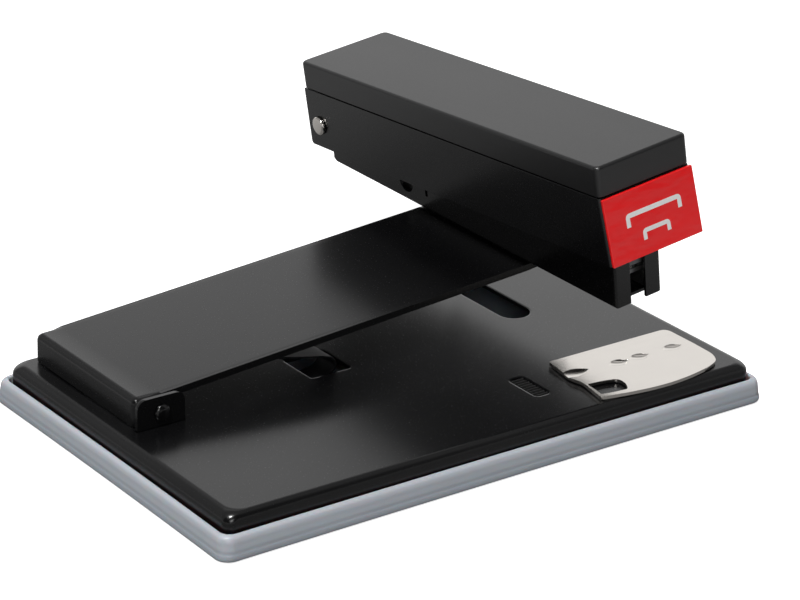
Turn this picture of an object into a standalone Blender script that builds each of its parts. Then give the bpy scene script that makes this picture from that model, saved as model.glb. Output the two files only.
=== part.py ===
"""Flat-bed desk stapler with a side arm: pressed-steel base in a soft plastic tray, hinged steel
arm, and a stapling head whose handle pivots on a rivet at the rear.

Sizes are millimetres while building and metres in the finished objects. X runs from the hinge
end to the head end, -Y is the operator's side, +Z is up, and the origin is the middle of the
base at table level. Head pieces are modelled in the head's own straight frame and then tilted.
"""
import math

import bmesh
import bpy
from mathutils import Matrix, Vector

MM = 0.001

# Base
BASE_LENGTH = 154.0          # X
BASE_DEPTH = 98.5            # Y
TRAY_BOTTOM = 0.0
TRAY_FLOOR_TOP = 2.0
TRAY_RIM_TOP = 6.0
DECK_TOP = 10.0
SHEET = 1.0                  # pressed-steel thickness

# Arm hinge, axis along Y
HINGE_X, HINGE_Z = -62.7, 13.4
HINGE_PIN_RADIUS = 1.5
HINGE_CLEARANCE = 0.1
ARM_FRONT_Y, ARM_REAR_Y = -0.1, 44.4
ARM_LEFT_X, ARM_RIGHT_X = -69.1, 57.0

# Head frame on the raised arm
HEAD_X, HEAD_Z = 34.62, 39.32
HEAD_TILT_DEG = 7.7
PIN_Y = 76.66                # handle pivot
HANDLE_RISE_DEG = 4.5        # handle raised above its pressed position
HEAD_LEFT, HEAD_RIGHT = -0.45, 26.65
HEAD_CENTRE = (HEAD_LEFT + HEAD_RIGHT) / 2
MAG_WIDTH = 14.0
MAG_WALL = 0.7
MAG_BOTTOM, MAG_TOP = -14.2, 1.5
MAG_FRONT_Y, MAG_REAR_Y = -33.6, 81.8
STAPLE_TOP = -6.6

ARM = Matrix.Translation((HEAD_X, 0, HEAD_Z)) @ Matrix.Rotation(-math.radians(HEAD_TILT_DEG), 4, "Y")
HANDLE = ARM @ Matrix.Translation((0, PIN_Y, 0)) @ Matrix.Rotation(-math.radians(HANDLE_RISE_DEG), 4, "X")
HINGE_POINT = (HINGE_X, 0, HINGE_Z)
PIN_POINT = tuple(ARM @ Vector((HEAD_CENTRE, PIN_Y, 0)))

BLACK_STEEL = ("black_steel", (0.012, 0.012, 0.013), 0.1, 0.22)
BLACK_PLASTIC = ("black_plastic", (0.015, 0.015, 0.016), 0.0, 0.35)
TRAY_PLASTIC = ("tray_plastic", (0.34, 0.37, 0.42), 0.0, 0.35)
RED_LABEL = ("red_label", (0.62, 0.012, 0.018), 0.0, 0.25)
NICKEL = ("nickel", (0.72, 0.70, 0.67), 1.0, 0.18)
ZINC = ("zinc_steel", (0.55, 0.55, 0.56), 1.0, 0.35)
SPRING_STEEL = ("spring_steel", (0.42, 0.42, 0.44), 1.0, 0.3)
RUBBER = ("rubber", (0.03, 0.03, 0.03), 0.0, 0.8)


def clear_scene():
    for item in list(bpy.data.objects):
        bpy.data.objects.remove(item, do_unlink=True)


def body_from(bm, name="cutter"):
    """Turn a bmesh in millimetres into an object, with the faces pointing outwards."""
    bmesh.ops.recalc_face_normals(bm, faces=bm.faces)
    mesh = bpy.data.meshes.new(name)
    bm.to_mesh(mesh)
    bm.free()
    item = bpy.data.objects.new(name, mesh)
    bpy.context.scene.collection.objects.link(item)
    return item


def combine(target, tools, operation="DIFFERENCE"):
    """Cut tools from target, or join them to it, and drop the tools."""
    for tool in tools:
        step = target.modifiers.new("step", "BOOLEAN")
        step.operation = operation
        step.solver = "EXACT"
        step.object = tool
        evaluated = target.evaluated_get(bpy.context.evaluated_depsgraph_get())
        mesh = bpy.data.meshes.new_from_object(evaluated)
        target.modifiers.clear()
        target.data = mesh
        bpy.data.objects.remove(tool, do_unlink=True)
    return target


def finish(item, name, look, frame=None, origin=(0, 0, 0), smooth=None):
    """Place a body in the row frame with its origin on the joint axis, and colour it."""
    if frame is not None:
        item.data.transform(frame)
    item.data.transform(Matrix.Translation(-Vector(origin)))
    item.data.transform(Matrix.Scale(MM, 4))
    item.location = Vector(origin) * MM
    item.name = item.data.name = name
    material = bpy.data.materials.new(name + "_" + look[0])
    material.use_nodes = True
    shader = material.node_tree.nodes["Principled BSDF"]
    shader.inputs["Base Color"].default_value = (*look[1], 1)
    shader.inputs["Metallic"].default_value = look[2]
    shader.inputs["Roughness"].default_value = look[3]
    item.data.materials.clear()
    item.data.materials.append(material)
    if smooth:
        item.data.set_sharp_from_angle(angle=math.radians(smooth))
        for face in item.data.polygons:
            face.use_smooth = True
    return item


def prism(outline, low, high, axis):
    """Extrude a closed outline; axis names the extrusion direction."""
    place = {"X": lambda a, b, t: (t, a, b),
             "Y": lambda a, b, t: (a, t, b),
             "Z": lambda a, b, t: (a, b, t)}[axis]
    bm = bmesh.new()
    bottom = [bm.verts.new(place(a, b, low)) for a, b in outline]
    top = [bm.verts.new(place(a, b, high)) for a, b in outline]
    bm.faces.new(bottom)
    bm.faces.new(top)
    for i in range(len(outline)):
        j = (i + 1) % len(outline)
        bm.faces.new((bottom[i], bottom[j], top[j], top[i]))
    return bm


def box(x0, x1, y0, y1, z0, z1):
    return prism([(x0, y0), (x1, y0), (x1, y1), (x0, y1)], z0, z1, "Z")


def soften(bm, radius, segments, chosen):
    """Round the edges whose two ends satisfy chosen."""
    edges = [e for e in bm.edges if chosen(e.verts[0].co, e.verts[1].co)]
    bmesh.ops.bevel(bm, geom=edges, offset=radius, segments=segments, profile=0.5, affect="EDGES",
                    clamp_overlap=True)
    return bm


def loft(rings):
    """Skin a list of equal closed rings and cap both ends."""
    bm = bmesh.new()
    rows = [[bm.verts.new(point) for point in ring] for ring in rings]
    for lower, upper in zip(rows, rows[1:]):
        for i in range(len(lower)):
            j = (i + 1) % len(lower)
            bm.faces.new((lower[i], lower[j], upper[j], upper[i]))
    bm.faces.new(rows[0])
    bm.faces.new(rows[-1])
    return bm


def turned(profile, centre, axis, segments=24):
    """Revolve (distance along the axis, radius) pairs about an axis through centre."""
    swap = {"X": lambda a, c, s: (a, c, s),
            "Y": lambda a, c, s: (c, a, s),
            "Z": lambda a, c, s: (c, s, a)}[axis]
    rings = []
    for along, radius in profile:
        ring = []
        for i in range(segments):
            turn = 2 * math.pi * i / segments
            point = swap(along, radius * math.cos(turn), radius * math.sin(turn))
            ring.append(tuple(p + c for p, c in zip(point, centre)))
        rings.append(ring)
    return loft(rings)


def rounded_rectangle(half_x, half_y, radius, z, bow=0.0, corner_steps=5, side_steps=6):
    """Ring of a rounded rectangle; bow pulls the middle of each side inwards."""
    ring = []
    corners = [(1, 1, 0), (-1, 1, 90), (-1, -1, 180), (1, -1, 270)]
    for index, (sx, sy, start) in enumerate(corners):
        cx, cy = sx * (half_x - radius), sy * (half_y - radius)
        for i in range(corner_steps + 1):
            turn = math.radians(start + 90 * i / corner_steps)
            ring.append((cx + radius * math.cos(turn), cy + radius * math.sin(turn), z))
        nx, ny, next_start = corners[(index + 1) % 4]
        turn = math.radians(next_start)
        end = (nx * (half_x - radius) + radius * math.cos(turn),
               ny * (half_y - radius) + radius * math.sin(turn))
        first = ring[-1]
        for i in range(1, side_steps):
            t = i / side_steps
            pull = bow * (1 - (2 * t - 1) ** 2)
            ring.append((first[0] + (end[0] - first[0]) * t - pull * math.cos(turn),
                         first[1] + (end[1] - first[1]) * t - pull * math.sin(turn), z))
    return ring


def wire(points, radius, sides=6):
    """Round wire along a smooth path."""
    rings = []
    for i, point in enumerate(points):
        here = Vector(point)
        before = Vector(points[max(i - 1, 0)])
        after = Vector(points[min(i + 1, len(points) - 1)])
        along = (after - before).normalized()
        helper = Vector((0.13, 0.98, 0.11)) if abs(along.y) < 0.9 else Vector((1, 0, 0))
        across = along.cross(helper).normalized()
        other = along.cross(across)
        rings.append([here + radius * (math.cos(2 * math.pi * k / sides) * across
                                       + math.sin(2 * math.pi * k / sides) * other) for k in range(sides)])
    return loft(rings)


def strip(path, thickness, low, high):
    """Flat leaf of constant thickness following a path in XZ, extruded along Y."""
    upper, lower = [], []
    for i, (x, z) in enumerate(path):
        x0, z0 = path[max(i - 1, 0)]
        x1, z1 = path[min(i + 1, len(path) - 1)]
        length = math.hypot(x1 - x0, z1 - z0)
        nx, nz = -(z1 - z0) / length, (x1 - x0) / length
        upper.append((x + nx * thickness / 2, z + nz * thickness / 2))
        lower.append((x - nx * thickness / 2, z - nz * thickness / 2))
    return prism(upper + lower[::-1], low, high, "Y")


clear_scene()

# ---------------------------------------------------------------- base tray and feet
half_x, half_y = BASE_LENGTH / 2, BASE_DEPTH / 2
tray_section = [(0.3, TRAY_BOTTOM), (-0.3, 0.3), (-0.5, 0.8), (-0.45, 1.5), (-0.32, 1.9), (-0.28, 2.3),
                (-0.25, 2.8), (0.0, 4.6), (0.3, 5.4), (0.8, 5.8), (1.3, TRAY_RIM_TOP), (1.6, 5.8),
                (1.6, TRAY_FLOOR_TOP)]
tray = body_from(loft([rounded_rectangle(half_x - inset, half_y - inset, 3.2 - inset * 0.4, z, bow=0.3)
                       for inset, z in tray_section]))
FOOT_RADIUS, FOOT_TOP = 6.0, 0.9
foot_places = {"fl": (-66, -38), "fr": (66, -38), "bl": (-66, 38), "br": (66, 38)}
combine(tray, [body_from(turned([(TRAY_BOTTOM - 1, FOOT_RADIUS + 0.3), (FOOT_TOP + 0.3, FOOT_RADIUS + 0.3)],
                                (x, y, 0), "Z", 20)) for x, y in foot_places.values()])
finish(tray, "base_tray", TRAY_PLASTIC, smooth=35)
for side, (x, y) in foot_places.items():
    foot = turned([(0.0, FOOT_RADIUS - 0.3), (0.3, FOOT_RADIUS), (FOOT_TOP, FOOT_RADIUS)], (x, y, 0), "Z", 20)
    finish(body_from(foot), "foot_" + side, RUBBER, smooth=40)

# ---------------------------------------------------------------- pressed base shell
shell_outside = [(2.3, 2.5), (2.3, 7.5), (2.4, 8.2), (2.65, 8.9), (3.1, 9.5), (3.75, 9.88), (4.5, DECK_TOP)]
shell_inside = [(4.7, 9.0), (4.1, 8.86), (3.65, 8.5), (3.4, 8.0), (3.3, 7.4), (3.3, 2.5)]
rings = [rounded_rectangle(half_x - inset, half_y - inset, 2.4 + 0.5 * (inset - 2.3), z, side_steps=1)
         for inset, z in shell_outside + shell_inside]
shell_mesh = loft(rings)
caps = [f for f in shell_mesh.faces if len(f.verts) > 4]
bmesh.ops.delete(shell_mesh, geom=caps, context="FACES_ONLY")
shell_mesh.verts.ensure_lookup_table()
count = len(rings[0])
groups = [shell_mesh.verts[i * count:(i + 1) * count] for i in range(len(rings))]
deck_ring, ceiling_ring = groups[len(shell_outside) - 1], groups[len(shell_outside)]
for i in range(count):
    j = (i + 1) % count
    shell_mesh.faces.remove(next(f for f in shell_mesh.faces if set(f.verts) == {
        deck_ring[i], deck_ring[j], ceiling_ring[i], ceiling_ring[j]}))
    shell_mesh.faces.new((groups[-1][i], groups[-1][j], groups[0][j], groups[0][i]))
shell_mesh.faces.new(deck_ring)
shell_mesh.faces.new(ceiling_ring)
shell = body_from(shell_mesh)

SPRING_WINDOW = (-19.6, -8.2, 1.5, 13.6)
BUTTON_SLOT = (18.7, 23.0, -34.9, -24.0)
SCREW_SLOT = (40.6, 49.2, 3.4, 40.0)
EAR_FRONT = (-69.2, -56.6, -1.6, -0.6)
EAR_REAR = (-66.4, -59.0, 41.9, 42.9)
ANVIL_STUDS = ((42.0, -37.5), (61.0, -37.5))
BRACKET_RIVETS = {"front": (-63.0, 15.0), "rear": (-63.0, 33.0)}


def slot_cutter(x0, x1, y0, y1, radius, z0=7.0, z1=12.0):
    bm = box(x0, x1, y0, y1, z0, z1)
    return body_from(soften(bm, radius, 5, lambda a, b: abs(a.z - b.z) > 1))


deck_cuts = [slot_cutter(*SPRING_WINDOW, 0.6), slot_cutter(*BUTTON_SLOT, 1.2), slot_cutter(*SCREW_SLOT, 4.2)]
for x0, x1, y0, y1 in (EAR_FRONT, EAR_REAR):
    deck_cuts.append(slot_cutter(x0 - 0.3, x1 + 0.3, y0 - 0.3, y1 + 0.3, 0.2))
for x, y in ANVIL_STUDS + tuple(BRACKET_RIVETS.values()):
    deck_cuts.append(body_from(turned([(7, 1.8), (12, 1.8)], (x, y, 0), "Z", 16)))
combine(shell, deck_cuts)
finish(shell, "base_shell", BLACK_STEEL, smooth=40)

# ---------------------------------------------------------------- hinge bracket under the deck
BRACKET_LOW, BRACKET_HIGH = 7.7, 8.7
bracket = body_from(box(EAR_FRONT[0], EAR_FRONT[1], EAR_FRONT[2], EAR_REAR[3], BRACKET_LOW, BRACKET_HIGH))
front_ear = soften(box(*EAR_FRONT[:2], *EAR_FRONT[2:], BRACKET_LOW, 17.4), 2.4, 5,
                   lambda a, b: a.z > 16 and b.z > 16 and abs(a.y - b.y) > 0.5)
rear_ear = soften(box(*EAR_REAR[:2], *EAR_REAR[2:], BRACKET_LOW, 15.1), 1.6, 5,
                  lambda a, b: a.z > 15 and b.z > 15 and abs(a.y - b.y) > 0.5)
combine(bracket, [body_from(front_ear), body_from(rear_ear)], "UNION")
SPRING_RIVET = (-61.0, 7.5)
HINGE_HOLE = HINGE_PIN_RADIUS + HINGE_CLEARANCE
holes = [body_from(turned([(-4, HINGE_HOLE), (48, HINGE_HOLE)], (HINGE_X, 0, HINGE_Z), "Y", 24))]
for x, y in tuple(BRACKET_RIVETS.values()) + (SPRING_RIVET,):
    holes.append(body_from(turned([(6, 1.5), (10, 1.5)], (x, y, 0), "Z", 16)))
finish(combine(bracket, holes), "hinge_bracket", BLACK_STEEL, smooth=35)

for side, (x, y) in BRACKET_RIVETS.items():
    rivet = turned([(7.2, 1.9), (7.4, 2.3), (7.5, 1.2), (10.2, 1.2), (10.2, 2.5), (10.6, 2.3), (10.95, 1.3)],
                   (x, y, 0), "Z", 20)
    finish(body_from(rivet), "bracket_rivet_" + side, BLACK_STEEL, smooth=35)

hinge_pin = turned([(-2.7, 0.7), (-2.45, 1.4), (-1.95, 2.0), (-1.9, 1.5), (44.7, 1.5), (44.75, 2.1),
                    (45.2, 1.7), (45.4, 0.8)], (HINGE_X, 0, HINGE_Z), "Y", 24)
finish(body_from(hinge_pin), "hinge_pin", BLACK_STEEL, smooth=35)

# ---------------------------------------------------------------- anvil on the deck
ANVIL_LOW, ANVIL_TOP = 10.3, 11.1
outline = [(31.9, -22.8), (66.4, -22.8), (67.7, -23.2), (68.4, -24.3), (68.4, -38.6), (68.0, -41.0),
           (67.0, -42.9), (65.4, -44.2), (62.8, -45.2), (56.4, -46.6), (50.6, -47.3), (46.0, -47.3),
           (41.0, -46.8), (37.0, -46.4), (31.4, -45.3), (30.2, -44.9), (29.9, -44.2), (30.8, -39.4),
           (31.3, -36.4), (31.0, -34.4), (30.4, -32.4), (30.6, -30.6), (31.3, -28.0)]
anvil = body_from(prism(outline, ANVIL_LOW, ANVIL_TOP, "Z"))
studs = [body_from(turned([(7.2, 1.4), (10.8, 1.4)], (x, y, 0), "Z", 16)) for x, y in ANVIL_STUDS]
combine(anvil, studs, "UNION")
finger_notch = [(31.7, -37.7), (36.5, -38.2), (38.9, -38.8), (39.8, -40.1), (39.6, -42.2), (38.7, -44.3),
                (37.4, -44.7), (33.4, -44.1), (31.1, -43.4), (31.5, -40.2)]
recesses = [body_from(prism(finger_notch, 10.0, 12.0, "Z"))]
for x, y, reach, half_width, depth in ((32.8, -31.0, 4.6, 2.1, 0.42), (45.7, -32.0, 3.0, 1.5, 0.35),
                                       (52.1, -32.0, 3.0, 1.5, 0.35), (62.4, -32.0, 3.0, 1.5, 0.35)):
    leaf = bmesh.new()
    bmesh.ops.create_uvsphere(leaf, u_segments=20, v_segments=10, radius=1.0)
    leaf.transform(Matrix.Translation((x, y, ANVIL_TOP)) @ Matrix.Diagonal((reach, half_width, depth, 1)))
    recesses.append(body_from(leaf))
finish(combine(anvil, recesses), "anvil_plate", NICKEL, smooth=30)

retainer = body_from(soften(box(36.5, 66.5, -40.5, -34.5, 7.4, 8.4), 1.5, 4,
                            lambda a, b: abs(a.z - b.z) > 0.5))
combine(retainer, [body_from(turned([(6, 1.6), (10, 1.6)], (x, y, 0), "Z", 16)) for x, y in ANVIL_STUDS])
finish(retainer, "anvil_retainer", SPRING_STEEL, smooth=35)

# ---------------------------------------------------------------- arm return spring, a formed leaf
spring_path = [(-65.5, 7.15), (-40.0, 7.15), (-22.0, 7.2), (-16.0, 7.5), (-13.0, 8.2), (-11.4, 9.4),
               (-11.0, 10.8), (-11.9, 12.2), (-14.0, 13.1), (-20.0, 14.4), (-28.0, 16.2), (-32.0, 17.2),
               (-33.8, 17.3), (-35.2, 16.7)]
leaf = body_from(strip(spring_path, 0.5, 4.0, 11.0))
combine(leaf, [body_from(turned([(5, 1.5), (9, 1.5)], (*SPRING_RIVET, 0), "Z", 16))])
finish(leaf, "arm_spring", SPRING_STEEL, smooth=40)
rivet = turned([(6.1, 1.6), (6.3, 2.3), (6.75, 2.4), (6.75, 1.2), (8.6, 1.2)], (*SPRING_RIVET, 0), "Z", 20)
finish(body_from(rivet), "spring_rivet", ZINC, smooth=35)

# ---------------------------------------------------------------- release button in the deck slot
bx, by = sum(BUTTON_SLOT[:2]) / 2, sum(BUTTON_SLOT[2:]) / 2
BUTTON_TOP = 9.9
ribs = [(by - 5.1, 8.4)]
RIB_COUNT = 9
for i in range(RIB_COUNT):
    start = by - 5.1 + 10.2 * i / RIB_COUNT
    ribs += [(start, BUTTON_TOP - 0.35), (start + 0.25, BUTTON_TOP), (start + 0.75, BUTTON_TOP),
             (start + 1.0, BUTTON_TOP - 0.35)]
ribs.append((by + 5.1, 8.4))
cap = body_from(prism(ribs, bx - 1.85, bx + 1.85, "X"))
flange = body_from(soften(box(bx - 3.2, bx + 3.2, by - 6.5, by + 6.5, 7.5, 8.6), 1.0, 3,
                          lambda a, b: abs(a.z - b.z) > 0.5))
stem = body_from(turned([(4.4, 0.8), (4.6, 1.0), (8.0, 1.0)], (bx, by, 0), "Z", 16))
combine(cap, [flange, stem], "UNION")
finish(cap, "release_button", BLACK_PLASTIC, origin=(bx, by, BUTTON_TOP), smooth=35)

guide = body_from(turned([(TRAY_FLOOR_TOP + 0.3, 3.4), (4.9, 3.4), (5.2, 3.1)], (bx, by, 0), "Z", 24))
combine(guide, [body_from(turned([(2.9, 2.4), (6.0, 2.4)], (bx, by, 0), "Z", 24))])
finish(guide, "button_guide", BLACK_PLASTIC, smooth=35)

coil = []
COIL_TURNS, COIL_STEPS = 4, 12
for i in range(COIL_TURNS * COIL_STEPS + 1):
    turn = 2 * math.pi * i / COIL_STEPS
    coil.append((bx + 1.75 * math.cos(turn), by + 1.75 * math.sin(turn),
                 3.3 + 3.8 * i / (COIL_TURNS * COIL_STEPS)))
finish(body_from(wire(coil, 0.25, 5)), "button_spring", SPRING_STEEL, smooth=50)

# ---------------------------------------------------------------- arm, a pressed lid with flanges
KNEE_X = -62.0
ARM_TOP = 17.3
SLOPE = math.tan(math.radians(4.62))
SEAT_X = 42.6
seat_z = ARM_TOP + SLOPE * (SEAT_X - KNEE_X)
tip_z = seat_z + math.tan(math.radians(HEAD_TILT_DEG)) * (ARM_RIGHT_X - SEAT_X)
FLANGE_DROP = 1.7
outside = [(ARM_LEFT_X, 10.35), (-59.4, 10.6), (-58.2, 11.4),
           (-56.6, ARM_TOP + SLOPE * (-56.6 - KNEE_X) - FLANGE_DROP), (SEAT_X, seat_z - FLANGE_DROP),
           (ARM_RIGHT_X, tip_z - FLANGE_DROP), (ARM_RIGHT_X, tip_z), (SEAT_X, seat_z), (KNEE_X, ARM_TOP),
           (ARM_LEFT_X, ARM_TOP)]
arm_body = prism(outside, ARM_FRONT_Y, ARM_REAR_Y, "Y")


def on_lid(a, b):
    """Lid edges along both flanges, the end bend, and the two upright end corners."""
    high = [v.z > ARM_TOP + SLOPE * (max(v.x, KNEE_X) - KNEE_X) - 0.3 for v in (a, b)]
    along = all(high) and abs(a.y - b.y) < 0.1
    end_bend = all(high) and a.x < ARM_LEFT_X + 0.1 and b.x < ARM_LEFT_X + 0.1
    upright = a.x < ARM_LEFT_X + 0.1 and b.x < ARM_LEFT_X + 0.1 and abs(a.y - b.y) < 0.1
    return along or end_bend or upright


soften(arm_body, 1.6, 4, on_lid)
arm = body_from(arm_body)
inside = [(ARM_LEFT_X + SHEET, 2.0), (60.0, 2.0), (60.0, tip_z - SHEET + 0.4),
          (SEAT_X, seat_z - SHEET), (KNEE_X, ARM_TOP - SHEET), (ARM_LEFT_X + SHEET, ARM_TOP - SHEET)]
combine(arm, [body_from(prism(inside, ARM_FRONT_Y + SHEET, ARM_REAR_Y - SHEET, "Y"))])
arm_holes = [body_from(turned([(-4, HINGE_HOLE), (50, HINGE_HOLE)], (HINGE_X, 0, HINGE_Z), "Y", 24))]
HEAD_SCREWS = {"front": (8.7, 12.0), "rear": (8.7, 32.0)}
HEAD_RIVETS = {"front": (15.6, 12.0), "rear": (15.6, 32.0)}
for u, y in tuple(HEAD_SCREWS.values()) + tuple(HEAD_RIVETS.values()):
    drill = turned([(-20, 1.5), (-10, 1.5)], (u, y, 0), "Z", 16)
    drill.transform(ARM)
    arm_holes.append(body_from(drill))
finish(combine(arm, arm_holes), "arm_plate", BLACK_STEEL, origin=HINGE_POINT, smooth=35)

brace = [(x, ARM_TOP + SLOPE * (x - KNEE_X) - SHEET - 0.3) for x in (-48.0, 14.0)]
brace += [(x, z - 1.0) for x, z in brace[::-1]]
finish(body_from(soften(prism(brace, 14.0, 32.0, "Y"), 4.0, 5, lambda a, b: abs(a.z - b.z) > 0.5
                        and abs(a.x - b.x) < 0.5)), "arm_brace", BLACK_STEEL, origin=HINGE_POINT, smooth=35)

UNDERSIDE = (ARM.inverted() @ Vector((SEAT_X, 0, seat_z))).z - SHEET   # arm underside in the head frame

# ---------------------------------------------------------------- magazine channel
mu0, mu1 = HEAD_CENTRE - MAG_WIDTH / 2, HEAD_CENTRE + MAG_WIDTH / 2
side_view = [(MAG_FRONT_Y, MAG_BOTTOM), (80.4, MAG_BOTTOM), (MAG_REAR_Y, MAG_BOTTOM + 1.2),
             (MAG_REAR_Y, MAG_TOP), (MAG_FRONT_Y, MAG_TOP)]
channel_body = prism(side_view, mu0, mu1, "X")
soften(channel_body, 0.8, 3, lambda a, b: abs(a.x - b.x) < 0.1 and (
    (abs(a.y - b.y) < 0.1 and a.y < MAG_FRONT_Y + 0.1) or (abs(a.z - b.z) < 0.1 and a.z < MAG_BOTTOM + 0.1)))
channel = body_from(channel_body)
PRONG = 0.8
SLOT_REAR_Y = -30.8
cuts = [body_from(box(mu0 + MAG_WALL, mu1 - MAG_WALL, MAG_FRONT_Y + PRONG, 90, MAG_BOTTOM + 0.8, 10)),
        body_from(box(mu0 + MAG_WALL, mu1 - MAG_WALL, MAG_FRONT_Y + PRONG, SLOT_REAR_Y, -20, 0)),
        body_from(box(HEAD_CENTRE - 2.3, HEAD_CENTRE + 2.3, -40, SLOT_REAR_Y, -20, 10)),
        body_from(turned([(-2, 2.2), (30, 2.2)], (0, PIN_Y, 0), "X", 24)),
        body_from(turned([(-2, 2.9), (HEAD_CENTRE, 2.9)], (0, 49.3, -8.9), "X", 24)),
        body_from(box(-2, HEAD_CENTRE, 40.2, 41.2, -10.3, -8.3))]
for u, y in tuple(HEAD_SCREWS.values()) + tuple(HEAD_RIVETS.values()):
    cuts.append(body_from(turned([(-20, 1.5), (-10, 1.5)], (u, y, 0), "Z", 16)))
finish(combine(channel, cuts), "mag_channel", BLACK_STEEL, frame=ARM, origin=HINGE_POINT, smooth=35)

# ---------------------------------------------------------------- magazine contents
WEB_TOP = MAG_BOTTOM + 0.8


def saddle(width, wall, bottom, top, roof, y0, y1):
    """Upside-down U across the head centre line."""
    a, b = HEAD_CENTRE - width / 2, HEAD_CENTRE + width / 2
    return prism([(a, bottom), (a + wall, bottom), (a + wall, top - roof), (b - wall, top - roof),
                  (b - wall, bottom), (b, bottom), (b, top), (a, top)], y0, y1, "Y")


rail = body_from(saddle(10.4, 1.0, WEB_TOP + 0.25, STAPLE_TOP - 0.75, 1.0, -30.6, 68.0))
combine(rail, [body_from(box(5.0, u + 2.3, y - 2.3, y + 2.3, -20, -11.6)) for u, y in HEAD_SCREWS.values()])
finish(rail, "mag_rail", ZINC, frame=ARM, origin=HINGE_POINT, smooth=35)

finish(body_from(saddle(12.1, 0.5, WEB_TOP + 0.4, STAPLE_TOP, 0.5, -30.5, 20.0)), "staple_strip", NICKEL,
       frame=ARM, origin=HINGE_POINT)

ROD_V = -2.6


def bridge(y0, y1, low, high, hole, name, look, origin):
    block = body_from(soften(box(HEAD_CENTRE - 6.05, HEAD_CENTRE + 6.05, y0, y1, low, high), 0.4, 2,
                             lambda a, b: a.z > high - 0.1 and b.z > high - 0.1))
    combine(block, [body_from(turned([(y0 - 1, hole), (y1 + 1, hole)], (HEAD_CENTRE, 0, ROD_V), "Y", 20))])
    return finish(block, name, look, frame=ARM, origin=origin, smooth=35)


bridge(-29.6, -27.0, STAPLE_TOP + 0.5, 0.5, 1.25, "rod_guide", ZINC, HINGE_POINT)
bridge(68.6, 72.6, WEB_TOP + 0.3, 0.5, 1.25, "rear_block", ZINC, HINGE_POINT)

rod = turned([(-29.4, 0.9), (-29.2, 1.1), (72.2, 1.1), (72.4, 0.9)], (HEAD_CENTRE, 0, ROD_V), "Y", 14)
finish(body_from(rod), "pusher_rod", NICKEL, frame=ARM, origin=HINGE_POINT, smooth=40)

PUSHER_FRONT, PUSHER_REAR = 20.3, 27.0
pusher = body_from(saddle(12.1, 0.6, WEB_TOP + 0.4, -5.0, 1.6, PUSHER_FRONT, PUSHER_REAR))
hub = body_from(soften(box(HEAD_CENTRE - 3.4, HEAD_CENTRE + 3.4, PUSHER_FRONT, PUSHER_REAR, -5.6, -0.2),
                       0.8, 3, lambda a, b: a.z > -0.4 and b.z > -0.4 and abs(a.y - b.y) > 1))
combine(pusher, [hub], "UNION")
combine(pusher, [body_from(turned([(10, 1.35), (40, 1.35)], (HEAD_CENTRE, 0, ROD_V), "Y", 20))])
finish(pusher, "pusher", ZINC, frame=ARM, smooth=35,
       origin=tuple(ARM @ Vector((HEAD_CENTRE, PUSHER_FRONT, ROD_V))))

spiral = []
TURNS, STEPS = 16, 10
for i in range(TURNS * STEPS + 1):
    turn = 2 * math.pi * i / STEPS
    spiral.append((HEAD_CENTRE + 2.0 * math.cos(turn), 27.6 + 40.6 * i / (TURNS * STEPS),
                   ROD_V + 2.0 * math.sin(turn)))
finish(body_from(wire(spiral, 0.3, 4)), "pusher_spring", SPRING_STEEL, frame=ARM, origin=HINGE_POINT,
       smooth=60)

# ---------------------------------------------------------------- head fixings on the arm
for side, (u, y) in HEAD_SCREWS.items():
    screw = turned([(UNDERSIDE - 2.5, 1.0), (UNDERSIDE - 2.3, 1.2), (WEB_TOP + 0.05, 1.2),
                    (WEB_TOP + 0.05, 1.7), (WEB_TOP + 0.2, 1.7), (WEB_TOP + 0.3, 1.4)], (u, y, 0), "Z", 16)
    finish(body_from(screw), "head_screw_" + side, ZINC, frame=ARM, origin=HINGE_POINT, smooth=35)
    nut = body_from(turned([(UNDERSIDE - 2.1, 2.1), (UNDERSIDE - 1.9, 2.3), (UNDERSIDE - 0.4, 2.3),
                            (UNDERSIDE - 0.2, 2.1)], (u, y, 0), "Z", 6))
    combine(nut, [body_from(turned([(UNDERSIDE - 3, 1.3), (UNDERSIDE, 1.3)], (u, y, 0), "Z", 16))])
    finish(nut, "head_nut_" + side, ZINC, frame=ARM, origin=HINGE_POINT)
for side, (u, y) in HEAD_RIVETS.items():
    rivet = turned([(UNDERSIDE - 0.45, 1.5), (UNDERSIDE - 0.15, 1.9), (UNDERSIDE - 0.1, 1.2),
                    (WEB_TOP + 0.05, 1.2), (WEB_TOP + 0.05, 1.55), (WEB_TOP + 0.5, 1.2)], (u, y, 0), "Z", 16)
    finish(body_from(rivet), "head_rivet_" + side, ZINC, frame=ARM, origin=HINGE_POINT, smooth=35)

# ---------------------------------------------------------------- handle pivot and its springs
rivet = turned([(HEAD_LEFT - 1.05, 2.0), (HEAD_LEFT - 0.85, 2.4), (HEAD_LEFT - 0.3, 2.45),
                (HEAD_LEFT - 0.3, 1.9), (HEAD_RIGHT + 0.3, 1.9), (HEAD_RIGHT + 0.3, 2.45),
                (HEAD_RIGHT + 0.85, 2.4), (HEAD_RIGHT + 1.05, 2.0)], (0, PIN_Y, 0), "X", 32)
finish(body_from(rivet), "handle_pin", NICKEL, frame=ARM, origin=HINGE_POINT, smooth=35)
for side, (u0, u1) in {"left": (HEAD_LEFT + 1.3, mu0 - 0.3), "right": (mu1 + 0.3, HEAD_RIGHT - 1.3)}.items():
    tube = body_from(turned([(u0, 3.1), (u1, 3.1)], (0, PIN_Y, 0), "X", 20))
    combine(tube, [body_from(turned([(u0 - 1, 2.15), (u1 + 1, 2.15)], (0, PIN_Y, 0), "X", 20))])
    finish(tube, "pin_spacer_" + side, ZINC, frame=ARM, origin=HINGE_POINT, smooth=35)

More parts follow.
